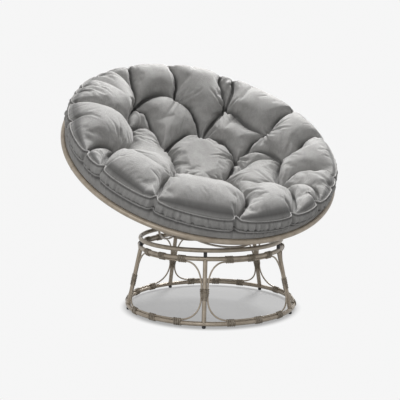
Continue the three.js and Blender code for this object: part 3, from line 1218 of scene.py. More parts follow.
BETWEEN_TUFTS = (
    Crease((Tuft.BACK_LEFT, (-162.2, 0.393), (-170.0, 0.401), (-176.7, 0.399), Tuft.BACK)),
    Crease((Tuft.BACK, (168.5, 0.352), (161.9, 0.304), Tuft.SEAT_BACK)),
    Crease((Tuft.BACK_LEFT, (-156.2, 0.339), (-156.1, 0.303), (-154.3, 0.256), Tuft.SEAT_LEFT)),
    Crease((Tuft.BACK_LEFT, (-137.0, 0.346), Tuft.LEFT)),
    Crease((Tuft.LEFT, (-146.5, 0.296), (-153.3, 0.260)), middle_pull=0.90, end_pull=0.92),
    Crease((Tuft.LEFT, (-117.5, 0.279), (-101.0, 0.285), Tuft.NEAR_LEFT)),
    Crease((Tuft.NEAR_LEFT, (-62.0, 0.290), Tuft.FRONT_LEFT), end_pull=0.75),
    Crease((Tuft.FRONT_LEFT, (-18.0, 0.272), Tuft.FRONT), start_pull=0.75),
    Crease((Tuft.FRONT, (20.0, 0.285), (34.0, 0.285), Tuft.FRONT_RIGHT)),
    Crease((Tuft.FRONT_RIGHT, (55.0, 0.329), (69.3, 0.329), Tuft.RIGHT)),
    Crease((Tuft.SEAT_LEFT, (-174.3, 0.203), (167.1, 0.239), Tuft.SEAT_BACK)),
    Crease((Tuft.SEAT_BACK, (146.6, 0.243), (133.1, 0.251), (121.4, 0.233), Tuft.SEAT_RIGHT)),
    Crease((Tuft.BACK_RIGHT, (147.8, 0.330), Tuft.SEAT_BACK)),
    Crease(
        (Tuft.BACK_RIGHT, (134.3, 0.382), (127.5, 0.368), (121.9, 0.363), Tuft.FAR_RIGHT), 0.985, 0.88, 0.30,
    ),
    Crease((Tuft.FAR_RIGHT, (111.2, 0.321), (107.8, 0.259), Tuft.SEAT_RIGHT)),
    Crease((Tuft.SEAT_RIGHT, (106.6, 0.255), (102.7, 0.299), (94.3, 0.333), Tuft.RIGHT), 0.985, 0.84, 0.80),
    Crease((Tuft.SEAT_RIGHT, (85.0, 0.155), Tuft.SEAT_FRONT)),
    Crease(
        ((78.0, 0.150), (80.4, 0.183), (88.6, 0.230), (90.9, 0.289), (87.4, 0.317), Tuft.RIGHT), 0.94, 0.93,
    ),
    Crease((Tuft.SEAT_FRONT, (36.0, 0.200), Tuft.FRONT), middle_pull=0.93),
    Crease((Tuft.SEAT_LEFT, (-150.0, 0.146), (-126.4, 0.102), Tuft.SEAT_NEAR)),
    Crease((Tuft.SEAT_NEAR, (-55.0, 0.200), Tuft.FRONT_LEFT), end_pull=0.70),
    Crease((Tuft.SEAT_NEAR, (0.0, 0.118), Tuft.SEAT_FRONT), middle_pull=0.90),
)
TO_THE_EDGE = (
    Crease((Tuft.BACK_LEFT, (-156.2, 0.424), (-158.3, 0.467), (-160.0, 0.525)), 0.985, 0.90, 0.93),
    Crease((Tuft.BACK_LEFT, (-153.3, 0.420), (-151.4, 0.473), (-147.0, 0.525)), 0.985, 0.82, 0.90),
    Crease((Tuft.BACK, (176.0, 0.474), (179.5, 0.525)), 0.985, 0.92, 0.95),
    Crease((Tuft.BACK_RIGHT, (148.6, 0.455), (151.7, 0.494), (152.0, 0.525)), 0.985, 0.88, 0.92),
    Crease((Tuft.BACK_RIGHT, (143.2, 0.453), (145.3, 0.525)), 0.985, 0.93, 0.95),
    Crease((Tuft.FAR_RIGHT, (111.7, 0.454), (110.0, 0.525)), 0.985, 0.91, 0.95),
    Crease((Tuft.RIGHT, (82.0, 0.409), (88.4, 0.457), (88.4, 0.503), (86.0, 0.525)), 0.985, 0.92, 0.70),
    Crease((Tuft.FRONT_RIGHT, (54.8, 0.360), (61.7, 0.397), (61.7, 0.439), (58.0, 0.525)), 0.97, 0.78, 0.60),
    Crease((Tuft.FRONT_RIGHT, (46.5, 0.420), (43.0, 0.477), (33.0, 0.525)), 0.985, 0.62, 0.98),
    Crease((Tuft.FRONT_RIGHT, (36.7, 0.412), (24.9, 0.474), (17.0, 0.525)), 0.985, 0.80, 0.97),
    Crease((Tuft.FRONT, (4.9, 0.380), (-0.7, 0.431), (-6.9, 0.497), (-8.5, 0.525)), 0.985, 0.94, 0.98),
    Crease((Tuft.FRONT_LEFT, (-42.8, 0.403), (-41.3, 0.447), (-40.5, 0.525)), 0.55, 0.84, 0.985),
    Crease((Tuft.NEAR_LEFT, (-78.6, 0.414), (-69.2, 0.490), (-65.5, 0.525)), 0.80, 0.90, 0.98),
    Crease((Tuft.NEAR_LEFT, (-84.6, 0.423), (-79.5, 0.490), (-76.0, 0.525)), 0.80, 0.86, 0.90),
    Crease((Tuft.LEFT, (-120.0, 0.390), (-114.5, 0.450), (-111.5, 0.525)), 0.80, 0.36, 0.85),
)


# How a fold runs: the share of its length in which it deepens, the power by which it fades, and the height
# of the crest beside it and its place, in depths and in widths of the fold.
FOLD_START = 0.12
FOLD_FADE = 0.8
FOLD_CREST = 0.5
FOLD_CREST_PLACE = 1.9


@dataclass(frozen=True)
class Fold:
    """A fine fold in the top panel, from one plan place to another."""

    start: Points
    end: Points
    depth: float
    width: float
    bow: float = 0.0

    def lifted(self, spots: Points) -> tuple[Points, Points]:
        """Lays the fold: down in it and up a little beside it.

        Args:
            spots: the plan places.

        Returns:
            The numbers of the places beside the fold, and how far it lifts each.
        """
        along = self.end - self.start
        length = np.linalg.norm(along)
        along /= length
        away = spots - self.start
        share = away @ along / length
        close = np.nonzero((share > -0.2) & (share < 1.1))[0]
        share = np.clip(share[close], 0, 1)
        across = away[close] @ np.array([-along[1], along[0]]) - 4 * self.bow * share * (1 - share)
        past = away[close] @ along - share * length
        gap = np.hypot(across, past) / self.width
        fade = np.clip(share / FOLD_START, 0, 1) * (1 - share) ** FOLD_FADE
        return close, self.depth * fade * (FOLD_CREST * bell(gap - FOLD_CREST_PLACE, 1.0) - bell(gap, 1.0))


@dataclass(frozen=True)
class Gathers:
    """The fine folds that fan out from the tufts, the pinches of the edge and the seam between them.

    A pair is the least and the most of what is drawn at random. Turns are degrees, apart from the tufts',
    which are shares of the step from one fold to the next.
    """

    seed: int = 12
    tuft_count: int = 11
    tuft_turn: Pair = (-0.35, 0.35)
    tuft_start: float = 0.006
    tuft_reach: Pair = (0.040, 0.125)
    tuft_bow: Pair = (-0.009, 0.009)
    tuft_depth: Pair = (0.0045, 0.0095)
    tuft_width: Pair = (0.0044, 0.0064)
    pinch_count: int = 3
    pinch_turn: Pair = (-1.2, 1.2)
    pinch_fan: Pair = (-7, 7)
    pinch_reach: Pair = (0.04, 0.10)
    pinch_depth: Pair = (0.002, 0.0042)
    pinch_width: float = 0.006
    seam_count: int = 46
    seam_fan: Pair = (-3, 3)
    seam_reach: Pair = (0.015, 0.05)
    seam_depth: Pair = (0.0012, 0.0028)
    seam_width: Pair = (0.004, 0.006)

    def folds(self, pinches: Sequence[Pair], edge: float) -> list[Fold]:
        """Draws all the folds.

        Args:
            pinches: the angle and the strength of each pinch.
            edge: the radius of the upper seam.

        Returns:
            The folds.
        """
        draw = np.random.default_rng(self.seed).uniform
        made = []
        for tuft in Tuft:
            middle = plan(tuft)
            turns = np.arange(self.tuft_count) + draw(*self.tuft_turn, self.tuft_count)
            for turn in turns * 2 * np.pi / self.tuft_count:
                heading = np.array([np.cos(turn), np.sin(turn)])
                start, end = middle + heading * self.tuft_start, middle + heading * draw(*self.tuft_reach)
                bow = draw(*self.tuft_bow)
                made.append(Fold(start, end, draw(*self.tuft_depth), draw(*self.tuft_width), bow))
        for place, share in pinches:
            for _ in range(self.pinch_count):
                start = plan((place + draw(*self.pinch_turn), edge))
                end = plan((place + draw(*self.pinch_fan), edge - draw(*self.pinch_reach)))
                made.append(Fold(start, end, draw(*self.pinch_depth) * min(1, 0.4 + share), self.pinch_width))
        for _ in range(self.seam_count):
            place = draw(-180, 180)
            end = plan((place + draw(*self.seam_fan), edge - draw(*self.seam_reach)))
            made.append(Fold(plan((place, edge)), end, draw(*self.seam_depth), draw(*self.seam_width)))
        return made


CLOTH_SIMULATION = {
    "quality": 4, "mass": 0.3, "tension_stiffness": 12, "compression_stiffness": 12, "shear_stiffness": 4,
    "bending_stiffness": 0.4, "tension_damping": 8, "shear_damping": 8, "air_damping": 2,
    "use_pressure": True, "uniform_pressure_force": 4.0, "shrink_min": -0.05, "vertex_group_mass": "hold",
    "pin_stiffness": 1.2,
}


@dataclass
class Cushion:
    """The thick round cushion: a tufted top, a gusset between two piped seams, and a lower panel."""

    shop: Workshop
    bowl: Bowl
    gathers: Gathers = Gathers()
    cells: int = 160
    cell_share: float = 0.89
    seam_radius: float = 0.525
    edge_middle: float = 0.059
    edge_slant: float = 0.020
    slant_turn: float = 80.0
    seat_depth: float = 0.162
    dish_power: float = 1.7
    lifts: tuple[Pair, ...] = (
        (-180.0, 0.0), (-151.0, 0.0), (-125.0, 0.012), (-112.0, 0.020), (-83.0, 0.042), (-62.0, 0.048),
        (-41.0, 0.066), (-15.0, 0.060), (5.0, 0.055), (45.0, 0.020), (82.0, 0.0), (180.0, 0.0),
    )
    lift_start: float = 0.060
    lift_peak: float = 0.310
    inner_puff: float = 0.066
    outer_puffs: tuple[Pair, ...] = (
        (-180.0, 0.105), (-140.0, 0.130), (-108.0, 0.140), (-75.0, 0.105), (-40.0, 0.100), (5.0, 0.098),
        (30.0, 0.085), (60.0, 0.082), (95.0, 0.092), (140.0, 0.093), (180.0, 0.105),
    )
    outer_start: float = 0.30
    outer_change: float = 0.11
    puff_rounds: int = 3500
    crease_hold: float = 0.15
    crease_slack: float = 1.02
    crease_cells: float = 0.75
    crease_reach: float = 0.009
    crease_pin: float = 0.75
    crease_press: float = 0.011
    crease_width: float = 0.0045
    press_start: float = 0.4
    press_fade: float = 0.012
    tuft_dimple: float = 0.024
    tuft_width: float = 0.013
    tuft_hold_width: float = 0.010
    loose_ties: dict[Tuft, float] = field(
        default_factory=lambda: {Tuft.FRONT_LEFT: 0.2, Tuft.NEAR_LEFT: 0.5, Tuft.FRONT: 0.8, Tuft.LEFT: 0.7},
    )
    pinches: tuple[Pair, ...] = (
        (-160.0, 0.8), (-147.0, 0.6), (-140.5, 0.5), (-126.5, 0.6), (-120.0, 0.5), (-111.5, 0.8),
        (-97.5, 0.7), (-76.0, 0.8), (-65.5, 1.2), (-40.5, 1.3), (-8.5, 1.2), (17.0, 1.0), (33.0, 1.1),
        (48.5, 0.5), (57.0, 0.6), (86.0, 0.5), (110.0, 0.8), (145.3, 0.9), (152.0, 0.7), (179.5, 0.8),
    )
    pinch_depth: float = 0.020
    pinch_width: float = 0.008
    pinch_skirt: float = 0.3
    pinch_skirt_width: float = 0.035
    pinch_fade: float = 0.03
    pinch_ease: float = 0.3
    gusset_half: float = 0.021
    gusset_rows: int = 8
    gusset_bulge: float = 0.007
    gusset_hold: float = 0.35
    seam_hold: float = 0.9
    pucker_depth: float = 0.0036
    pucker_pitch: float = 0.029
    fine_pucker_pitch: float = 0.0175
    pucker_slant: float = 0.012
    pucker_waves: tuple[float, float, float, float] = (0.09, 0.11, 0.07, 0.05)
    pucker_end: float = 1.5
    pucker_end_share: float = 0.35
    lower_rows: int = 4
    lower_swell: float = 0.004
    lower_taper: float = 0.0015
    rim_gap: float = 0.0012
    rim_turns: tuple[float, ...] = (110.0, 135.0, 160.0, 180.0)
    belly: tuple[Pair, ...] = (
        (0.450, -0.060), (0.400, -0.097), (0.350, -0.134), (0.300, -0.171), (0.250, -0.208), (0.200, -0.247),
        (0.150, -0.287), (0.120, -0.306), (0.090, -0.318),
    )
    floor_gap: float = 0.0005
    lobe: float = 0.005
    under_dimple: float = 0.020
    under_width: float = 0.045
    under_tip: float = 0.6
    under_tip_width: float = 0.012
    swell_cap: float = 0.017
    sim_frames: int = 20
    # The painted shade beside the seams: its strength, its distance from each seam and its width.
    seam_shade: float = 1.0
    seam_shade_offset: float = 0.0042
    seam_shade_width: float = 0.0034
    row_step: float = 0.0062
    piping_radius: float = 0.0021
    upper_piping_lift: float = 0.0010
    lower_piping_lift: float = 0.0030
    upper_stitches: Pair = (0.0020, 0.0052)
    lower_stitches: Pair = (0.0030, -0.0050)
    far_away: float = 9.0

    def seam_middle(self, angle: Points) -> Points:
        """Returns the height of the gusset's middle by angle: the cushion lies a little askew."""
        return self.edge_middle + self.edge_slant * np.cos(np.radians(angle + self.slant_turn))

    def carcass(self, radius: Points, angle: Points) -> Points:
        """Shapes the surface through the tufts and creases, which is fuller at the front.

        Args:
            radius: the radius of each place.
            angle: its angle.

        Returns:
            Its height.
        """
        full = self.seat_depth + self.seam_middle(angle) + self.gusset_half
        height = -self.seat_depth + full * (radius / self.seam_radius) ** self.dish_power
        places, rises = np.array(self.lifts).T
        up = np.clip((radius - self.lift_start) / (self.lift_peak - self.lift_start), 0, 1)
        down = np.clip((self.seam_radius - radius) / (self.seam_radius - self.lift_peak), 0, 1)
        return height + np.interp(angle, places, rises) * up**2 * (3 - 2 * up) * down**2 * (3 - 2 * down)

    def disc(self) -> tuple[Points, Points]:
        """Maps a square grid to a disc of radius 1.

        Returns:
            How far each grid point is to the right and to the back.
        """
        steps = np.linspace(-1, 1, self.cells + 1)
        first, second = np.meshgrid(steps, steps, indexing="ij")
        wide = np.abs(first) >= np.abs(second)
        radius = np.where(wide, first, second)
        other = np.where(wide, second, first)
        ratio = np.divide(other, radius, out=np.zeros_like(radius), where=radius != 0) * np.pi / 4
        angle = np.where(wide, ratio, np.pi / 2 - ratio)
        return radius * np.cos(angle), radius * np.sin(angle)

    def stiffness(self, x: Points, y: Points) -> tuple[Points, Points]:
        """Measures the hold of the creases.

        Args:
            x: how far each plan point is to the right.
            y: how far it is to the back.

        Returns:
            How hard each point is held down, and how near a crease it lies.
        """
        spacing = 2 * self.seam_radius / self.cells * self.cell_share
        hold = np.zeros(x.shape)
        near = np.zeros(x.shape)
        for crease in BETWEEN_TUFTS + TO_THE_EDGE:
            gap, pull = crease.nearest(x, y)
            weight = self.crease_hold * (pull / (self.crease_slack - pull)) ** 2
            hold = np.maximum(hold, weight * bell(gap, self.crease_cells * spacing))
            near = np.maximum(near, pull * bell(gap, self.crease_reach))
        return hold, near

    def puff(self, hold: Points) -> Points:
        """Fills the panel like a pillow that is held down at its rim and at the creases.

        Args:
            hold: how hard each point of the square grid is held down.

        Returns:
            The pillow's height at each point.
        """
        spacing = 2 * self.seam_radius / self.cells * self.cell_share
        height = np.zeros(hold.shape)
        for _ in range(self.puff_rounds):
            inner = (height[:-2, 1:-1] + height[2:, 1:-1] + height[1:-1, :-2] + height[1:-1, 2:]) / 4
            height[1:-1, 1:-1] = (inner + spacing**2) / (1 + hold[1:-1, 1:-1])
        return np.sqrt(height)

    def top(self) -> tuple[Points, Points, Points]:
        """Shapes the top panel.

        Returns:
            Its points, their plan places, and their hold for the cloth.
        """
        flat_x, flat_y = self.disc()
        x, y = flat_x * self.seam_radius, flat_y * self.seam_radius
        radius = np.hypot(x, y)
        angle = np.degrees(np.arctan2(x, -y))
        hold, near = self.stiffness(x, y)
        step = 0.004
        height = self.carcass(radius, angle)
        beyond = self.carcass(radius + step, angle)
        within = self.carcass(np.maximum(radius - step, 0), angle)
        slope = (beyond - within) / (2 * step)
        share = np.clip((radius - self.outer_start) / self.outer_change, 0, 1)
        share = share * share * (3 - 2 * share)
        outer = np.interp(angle, *np.array(self.outer_puffs).T)
        cap = self.inner_puff + (outer - self.inner_puff) * share
        puff = cap * np.tanh(self.puff(hold) / cap)
        gaps = tuft_gaps(x, y)
        ties = np.array([self.loose_ties.get(tuft, 1.0) for tuft in Tuft])
        puff -= self.tuft_dimple * (ties * bell(gaps, self.tuft_width)).max(-1)
        out = np.stack([x, y, np.zeros_like(x)], -1) / np.maximum(radius, 1e-6)[..., None]
        normal = np.stack([-slope * out[..., 0], -slope * out[..., 1], np.ones_like(x)], -1)
        normal /= np.linalg.norm(normal, axis=-1, keepdims=True)
        points = np.stack([x, y, height], -1) + puff[..., None] * normal
        points -= out * (self.pinch(angle) * bell(self.seam_radius - radius, self.pinch_fade))[..., None]
        tied = bell(gaps[..., ties == 1.0].min(-1), self.tuft_hold_width)
        return points, np.stack([x, y], -1), np.maximum(tied, np.clip(self.crease_pin * near, 0, 1))

    def pinch(self, angle: Points) -> Points:
        """Pulls the edge in where a crease crosses it.

        Args:
            angle: the angle of each place at the edge.

        Returns:
            How far it is pulled in.
        """
        total = np.zeros(np.shape(angle))
        for place, share in self.pinches:
            gap = np.radians((angle - place + 180) % 360 - 180) * self.seam_radius
            near = bell(gap, self.pinch_width) + self.pinch_skirt * bell(gap, self.pinch_skirt_width)
            total = np.maximum(total, share * self.pinch_depth * near)
        return total

    def border(self) -> list[tuple[int, int]]:
        """Walks round the disc's border.

        Returns:
            The grid places in order.
        """
        last = self.cells
        side = range(last)
        return (
            [(last, step) for step in side] + [(last - step, last) for step in side]
            + [(0, last - step) for step in side] + [(step, 0) for step in side]
        )

    def edge_rows(self, angle: Points) -> list[Points]:
        """Shapes the cover from under the upper seam to the rim and round it.

        Args:
            angle: the angle of each border point.

        Returns:
            Rows of points, from the top down.
        """
        out = np.array([outward(value) for value in angle])
        middle = self.seam_middle(angle)
        pull = self.pinch(angle)
        wrap = self.bowl.rim_tube + self.rim_gap
        rows = []
        for step in range(1, self.gusset_rows + 1):
            share = step / self.gusset_rows
            bow = self.gusset_bulge * math.sin(math.pi * share)
            radius = self.seam_radius + self.lower_swell * share + bow - pull * (1 - self.pinch_ease * share)
            height = middle + self.gusset_half * (1 - 2 * share)
            rows.append(out * radius[:, None] + height[:, None] * UP)
        low = middle - self.gusset_half
        for step in range(1, self.lower_rows + 1):
            share = step / self.lower_rows
            radius = self.seam_radius + self.lower_swell - self.lower_taper * share
            radius = radius - pull * (1 - self.pinch_ease) * (1 - share)
            height = low + (wrap - low) * share
            rows.append(out * radius[:, None] + height[:, None] * UP)
        for turn in self.rim_turns:
            side, rise = math.cos(math.radians(turn)) * wrap, math.sin(math.radians(turn)) * wrap
            rows.append(out * (self.bowl.rim_radius + side) + rise * UP)
        return rows

    def under(self) -> Points:
        """Shapes the lower panel: it hangs from the rim, clear of the ribs, to a belly in the bottom ring.

        Returns:
            Its points, by the square grid.
        """
        flat_x, flat_y = self.disc()
        share = np.hypot(flat_x, flat_y)
        turn = np.arctan2(flat_x, -flat_y)
        inner_rim = self.bowl.rim_radius - self.bowl.rim_tube - self.rim_gap
        floor = -self.bowl.depth + self.bowl.bottom_tube + self.floor_gap
        profile = np.array([(inner_rim, 0.0), *self.belly, (0.0, floor)])
        length = np.r_[0, np.cumsum(np.linalg.norm(np.diff(profile, axis=0), axis=1))]
        radius, height = (np.interp((1 - share) * length[-1], length, profile[:, axis]) for axis in (0, 1))
        lobe = np.cos(turn * self.bowl.rib_count) * np.sin(np.pi * np.clip(share, 0, 1) ** 1.5) ** 2
        x, y = radius * np.sin(turn), -radius * np.cos(turn)
        gaps = tuft_gaps(x, y).min(-1)
        tied = bell(gaps, self.under_width) + self.under_tip * bell(gaps, self.under_tip_width)
        return np.stack([x, y, height + self.lobe * lobe + self.under_dimple * tied], -1)

    def body(self) -> tuple[Piece, list[list[int]]]:
        """Builds the closed cover in the bowl's own frame.

        Returns:
            The cover, and the point numbers round its two seams.
        """
        top, flat, pinned = self.top()
        size = self.cells + 1
        border = self.border()
        top_index = np.arange(size * size).reshape(size, size)
        angle = np.array([math.degrees(math.atan2(top[place][0], -top[place][1])) for place in border])
        rows = self.edge_rows(angle)
        points = [top.reshape(-1, 3), *rows]
        rings = [[int(top_index[place]) for place in border]]
        count = size * size
        for row in rows:
            rings.append(list(range(count, count + len(row))))
            count += len(row)
        under = self.under()
        under_index = np.full((size, size), -1)
        for place, number in zip(border, rings[-1]):
            under_index[place] = number
        inner = [(i, j) for i in range(size) for j in range(size) if under_index[i, j] < 0]
        for number, place in enumerate(inner, count):
            under_index[place] = number
        points.append(np.array([under[place] for place in inner]))
        faces = self.grid_faces(top_index, flip=False) + self.grid_faces(under_index, flip=True)
        for above, below in zip(rings, rings[1:]):
            for step, after in enumerate([*range(1, len(above)), 0]):
                faces.append((above[step], below[step], below[after], above[after]))
        cover = new_mesh("cushion_cover", np.vstack(points), faces=faces)
        self.mark(cover, flat, pinned, angle, rings)
        self.unwrap(cover, rings)
        return cover, [rings[0], rings[self.gusset_rows]]

    def grid_faces(self, index: Points, flip: bool) -> list[tuple[int, ...]]:
        """Joins the points of a square grid into faces of four corners.

        Args:
            index: the number of each point, by rows and columns.
            flip: True where each face is turned over.

        Returns:
            The point numbers of each face.
        """
        corners = np.stack([index[:-1, :-1], index[1:, :-1], index[1:, 1:], index[:-1, 1:]], -1)
        rows = corners.reshape(-1, 4)
        return [tuple(int(number) for number in (row[::-1] if flip else row)) for row in rows]

    def store(self, mesh: bpy.types.Mesh, name: str, values: Points) -> None:
        """Keeps one number for each point of a mesh as an attribute."""
        layer = mesh.attributes.new(name, "FLOAT", "POINT")
        layer.data.foreach_set("value", np.asarray(values, np.float32))

    def mark(self, cover: Piece, flat: Points, pinned: Points, angle: Points, rings: list[list[int]]) -> None:
        """Marks each point's plan place, with the gusset spread flat round the panel, and its hold.

        Args:
            cover: the cover.
            flat: the top panel's plan places.
            pinned: the top panel's hold.
            angle: the angle of each border point.
            rings: the point numbers of the rows round the edge.
        """
        total, panel = len(cover.data.vertices), pinned.size
        spread = np.full((total, 2), self.far_away)
        spread[:panel] = flat.reshape(-1, 2)
        out = np.array([outward(value)[:2] for value in angle])
        hold = np.ones(total)
        hold[:panel] = pinned.ravel()
        for depth, numbers in enumerate(rings[: self.gusset_rows + self.lower_rows + 1]):
            spread[numbers] = out * (self.seam_radius + 2 * self.gusset_half * depth / self.gusset_rows)
            if depth <= self.gusset_rows:
                hold[numbers] = self.seam_hold if depth in (0, self.gusset_rows) else self.gusset_hold
        self.store(cover.data, "plan_x", spread[:, 0])
        self.store(cover.data, "plan_y", spread[:, 1])
        group = cover.vertex_groups.new(name="hold")
        for level in np.unique(np.round(hold, 2)):
            group.add(np.nonzero(np.round(hold, 2) == level)[0].tolist(), float(level), "REPLACE")

    def unwrap(self, piece: Piece, rings: list[list[int]]) -> None:
        """Lays the UV map: panels from above, and the edge by its length and height.

        Args:
            piece: the cover.
            rings: the point numbers of the rows round the edge.
        """
        mesh = piece.data
        flat = coordinates(mesh)[:, :2]
        edge_length = 2 * math.pi * self.seam_radius
        band = {}
        for row, numbers in enumerate(rings):
            for step, number in enumerate(numbers):
                band[number] = (step / len(numbers) * edge_length, row * self.row_step)
        layer = mesh.uv_layers.new(name="cloth")
        for face in mesh.polygons:
            corners = [mesh.loops[loop].vertex_index for loop in face.loop_indices]
            is_band = all(number in band for number in corners)
            for loop, number in zip(face.loop_indices, corners):
                place = band[number] if is_band else flat[number]
                if is_band and place[0] == 0 and max(band[other][0] for other in corners) > edge_length / 2:
                    place = (edge_length, place[1])
                layer.data[loop].uv = place

    def inflate(self, cover: Piece) -> None:
        """Runs the cloth under pressure, with its tufts, creases and seams held, and caps the swelling.

        Args:
            cover: the cover.
        """
        mesh = cover.data
        before = coordinates(mesh)
        modifier = cover.modifiers.new("cloth", "CLOTH")
        for name, value in CLOTH_SIMULATION.items():
            setattr(modifier.settings, name, value)
        modifier.settings.effector_weights.gravity = 0.0
        modifier.collision_settings.use_collision = False
        modifier.collision_settings.use_self_collision = False
        modifier.point_cache.frame_start = 1
        modifier.point_cache.frame_end = self.sim_frames
        scene = bpy.context.scene
        for number in range(1, self.sim_frames + 1):
            scene.frame_set(number)
        swollen = cover.evaluated_get(bpy.context.evaluated_depsgraph_get())
        move = coordinates(swollen.to_mesh()) - before
        swollen.to_mesh_clear()
        cover.modifiers.remove(modifier)
        scene.frame_set(1)
        far = np.linalg.norm(move, axis=1, keepdims=True)
        log.info("cloth moved up to %.1f mm", 1000 * far.max())
        move *= np.minimum(1, self.swell_cap / np.maximum(far, 1e-9))
        mesh.vertices.foreach_set("co", (before + move).ravel())
        mesh.update()

    def puckers(self, spots: Points, down: Points) -> Points:
        """Returns how far the gathered gusset stands out.

        Args:
            spots: the plan places.
            down: how far down the gusset each place is, from 0 at the upper seam to 1 at the lower.

        Returns:
            The lift of each place.
        """
        length = np.arctan2(spots[:, 0], -spots[:, 1]) * self.seam_radius
        drift, coarse, fine, strength = self.pucker_waves
        slant = length + self.pucker_slant * down * np.sin(length / drift)
        wave = np.sin(2 * np.pi * slant / self.pucker_pitch + 2.0 * np.sin(length / coarse))
        wave += 0.8 * np.sin(2 * np.pi * slant / self.fine_pucker_pitch + 1.5 * np.sin(length / fine))
        tight = 0.7 + 0.3 * np.sin(length / strength + 1.0)
        arch = np.sqrt(np.clip(np.sin(np.pi * np.clip(down, 0, 1)), 0, 1))
        return self.pucker_depth * wave * tight * np.where(down < 1, arch, self.pucker_end_share)

    def press(self, mesh: bpy.types.Mesh) -> None:
        """Presses the creases sharp, lays the fine folds and marks how near each point is to a crease or a
        seam, as the weight of the painted shade there.

        Args:
            mesh: the cover's mesh.
        """
        count = len(mesh.vertices)
        flat = np.zeros((2, count))
        for row, name in enumerate(("plan_x", "plan_y")):
            mesh.attributes[name].data.foreach_get("value", flat[row])
            mesh.attributes.remove(mesh.attributes[name])
        spots = flat.T
        radius = np.hypot(spots[:, 0], spots[:, 1])
        lower_seam = self.seam_radius + 2 * self.gusset_half
        near = np.zeros(count)
        lift = np.zeros(count)
        on_top = np.nonzero(radius < lower_seam)[0]
        for crease in BETWEEN_TUFTS + TO_THE_EDGE:
            gap, pull = crease.nearest(spots[on_top, 0], spots[on_top, 1])
            power = np.clip((pull - self.press_start) / (1 - self.press_start), 0, 1)
            line = power * bell(gap, self.crease_width)
            lift[on_top] = np.minimum(lift[on_top], -self.crease_press * line)
            near[on_top] = np.maximum(near[on_top], line)
        inside = np.clip((self.seam_radius - radius) / self.press_fade, 0, 1)
        lift = lift * inside
        on_panel = np.nonzero(inside > 0)[0]
        panel, folded = spots[on_panel], np.zeros(len(on_panel))
        for fold in self.gathers.folds(self.pinches, self.seam_radius):
            close, rise = fold.lifted(panel)
            folded[close] += rise
        lift[on_panel] += folded * inside[on_panel]
        down = (radius - self.seam_radius) / (2 * self.gusset_half)
        on_side = np.nonzero((down > 0) & (down < self.pucker_end))[0]
        lift[on_side] += self.puckers(spots[on_side], down[on_side])
        # Painted shade: a dark band on each side of both seams.
        for seam in (self.seam_radius, lower_seam):
            for beside in (-self.seam_shade_offset, self.seam_shade_offset):
                near = np.maximum(near, self.seam_shade * bell(radius - seam - beside, self.seam_shade_width))
        normals = np.zeros(count * 3)
        mesh.vertex_normals.foreach_get("vector", normals)
        places = coordinates(mesh) + lift[:, None] * normals.reshape(-1, 3)
        mesh.vertices.foreach_set("co", places.ravel())
        # The crease attribute holds the weight of the painted shade in the creases and beside the seams.
        self.store(mesh, "crease", near)
        mesh.update()

    def seam_line(self, cover: Piece, numbers: list[int], lift: float, down: float = 0.0) -> Path:
        """Returns the line along a seam, lifted off the cloth.

        Args:
            cover: the inflated cover, in the bowl's own frame.
            numbers: the seam's points.
            lift: how far outwards the line lies.
            down: how far along the bowl's axis it is moved.

        Returns:
            The closed line, in place.
        """
        points = coordinates(cover.data)[numbers]
        away = points * (1, 1, 0)
        away /= np.linalg.norm(away, axis=1, keepdims=True)
        line = points + lift * away - down * UP
        soft = (np.roll(line, 1, 0) + np.roll(line, -1, 0) + 2 * line) / 4
        return closed_path(soft, self.bowl.place)

    def smoothed(self, cover: Piece) -> None:
        """Gives a cover one subdivision and leaves it a plain mesh.

        Args:
            cover: the inflated cover.
        """
        subdivide = cover.modifiers.new("smooth", "SUBSURF")
        subdivide.levels = subdivide.render_levels = 1
        bpy.context.view_layer.update()
        graph = bpy.context.evaluated_depsgraph_get()
        smooth = bpy.data.meshes.new_from_object(cover.evaluated_get(graph))
        cover.modifiers.remove(subdivide)
        cover.vertex_groups.clear()
        cover.data = smooth
        cover.data.name = "cushion_cover"

    def build(self) -> None:
        """Builds the cover, inflates it, and sews its piping and stitches on."""
        cover, (upper, lower) = self.body()
        self.inflate(cover)
        piping = {
            "upper": self.seam_line(cover, upper, self.upper_piping_lift),
            "lower": self.seam_line(cover, lower, self.lower_piping_lift),
        }
        rows = [
            self.seam_line(cover, upper, *self.upper_stitches),
            self.seam_line(cover, lower, *self.lower_stitches),
        ]
        self.smoothed(cover)
        self.press(cover.data)
        cover.data.transform(self.bowl.place)
        cover.data.materials.clear()
        cover.data.materials.append(self.shop.material(CLOTH))
        hand_over(cover, Body.CUSHION, ["cushion"])
        for name, line in piping.items():
            cord = self.shop.rods(f"cushion_piping_{name}", [line], self.piping_radius, PIPING, 10)
            hand_over(cord, Body.CUSHION)
        base, thread = paths_mesh("stitches", rows), self.shop.material(THREAD)
        stitches = grown("cushion_stitches", base, self.shop.stitches, Seed=7, Material=thread)
        hand_over(stitches, Body.CUSHION)


# Room, light and camera


@dataclass(frozen=True)
class Lamp:
    """A square soft lamp that points at the seat."""

    name: str
    place: tuple[float, float, float]
    size: float
    power: float
    aim: tuple[float, float, float] = (0.0, 0.0, 0.5)

    def hang(self) -> None:
        """Adds the lamp to the scene."""
        data = bpy.data.lights.new(self.name, "AREA")
        data.size = self.size
        data.energy = self.power
        made = bpy.data.objects.new(self.name, data)
        made.location = self.place
        made.rotation_euler = (Vector(self.aim) - Vector(self.place)).to_track_quat("-Z", "Y").to_euler()
        bpy.context.scene.collection.objects.link(made)


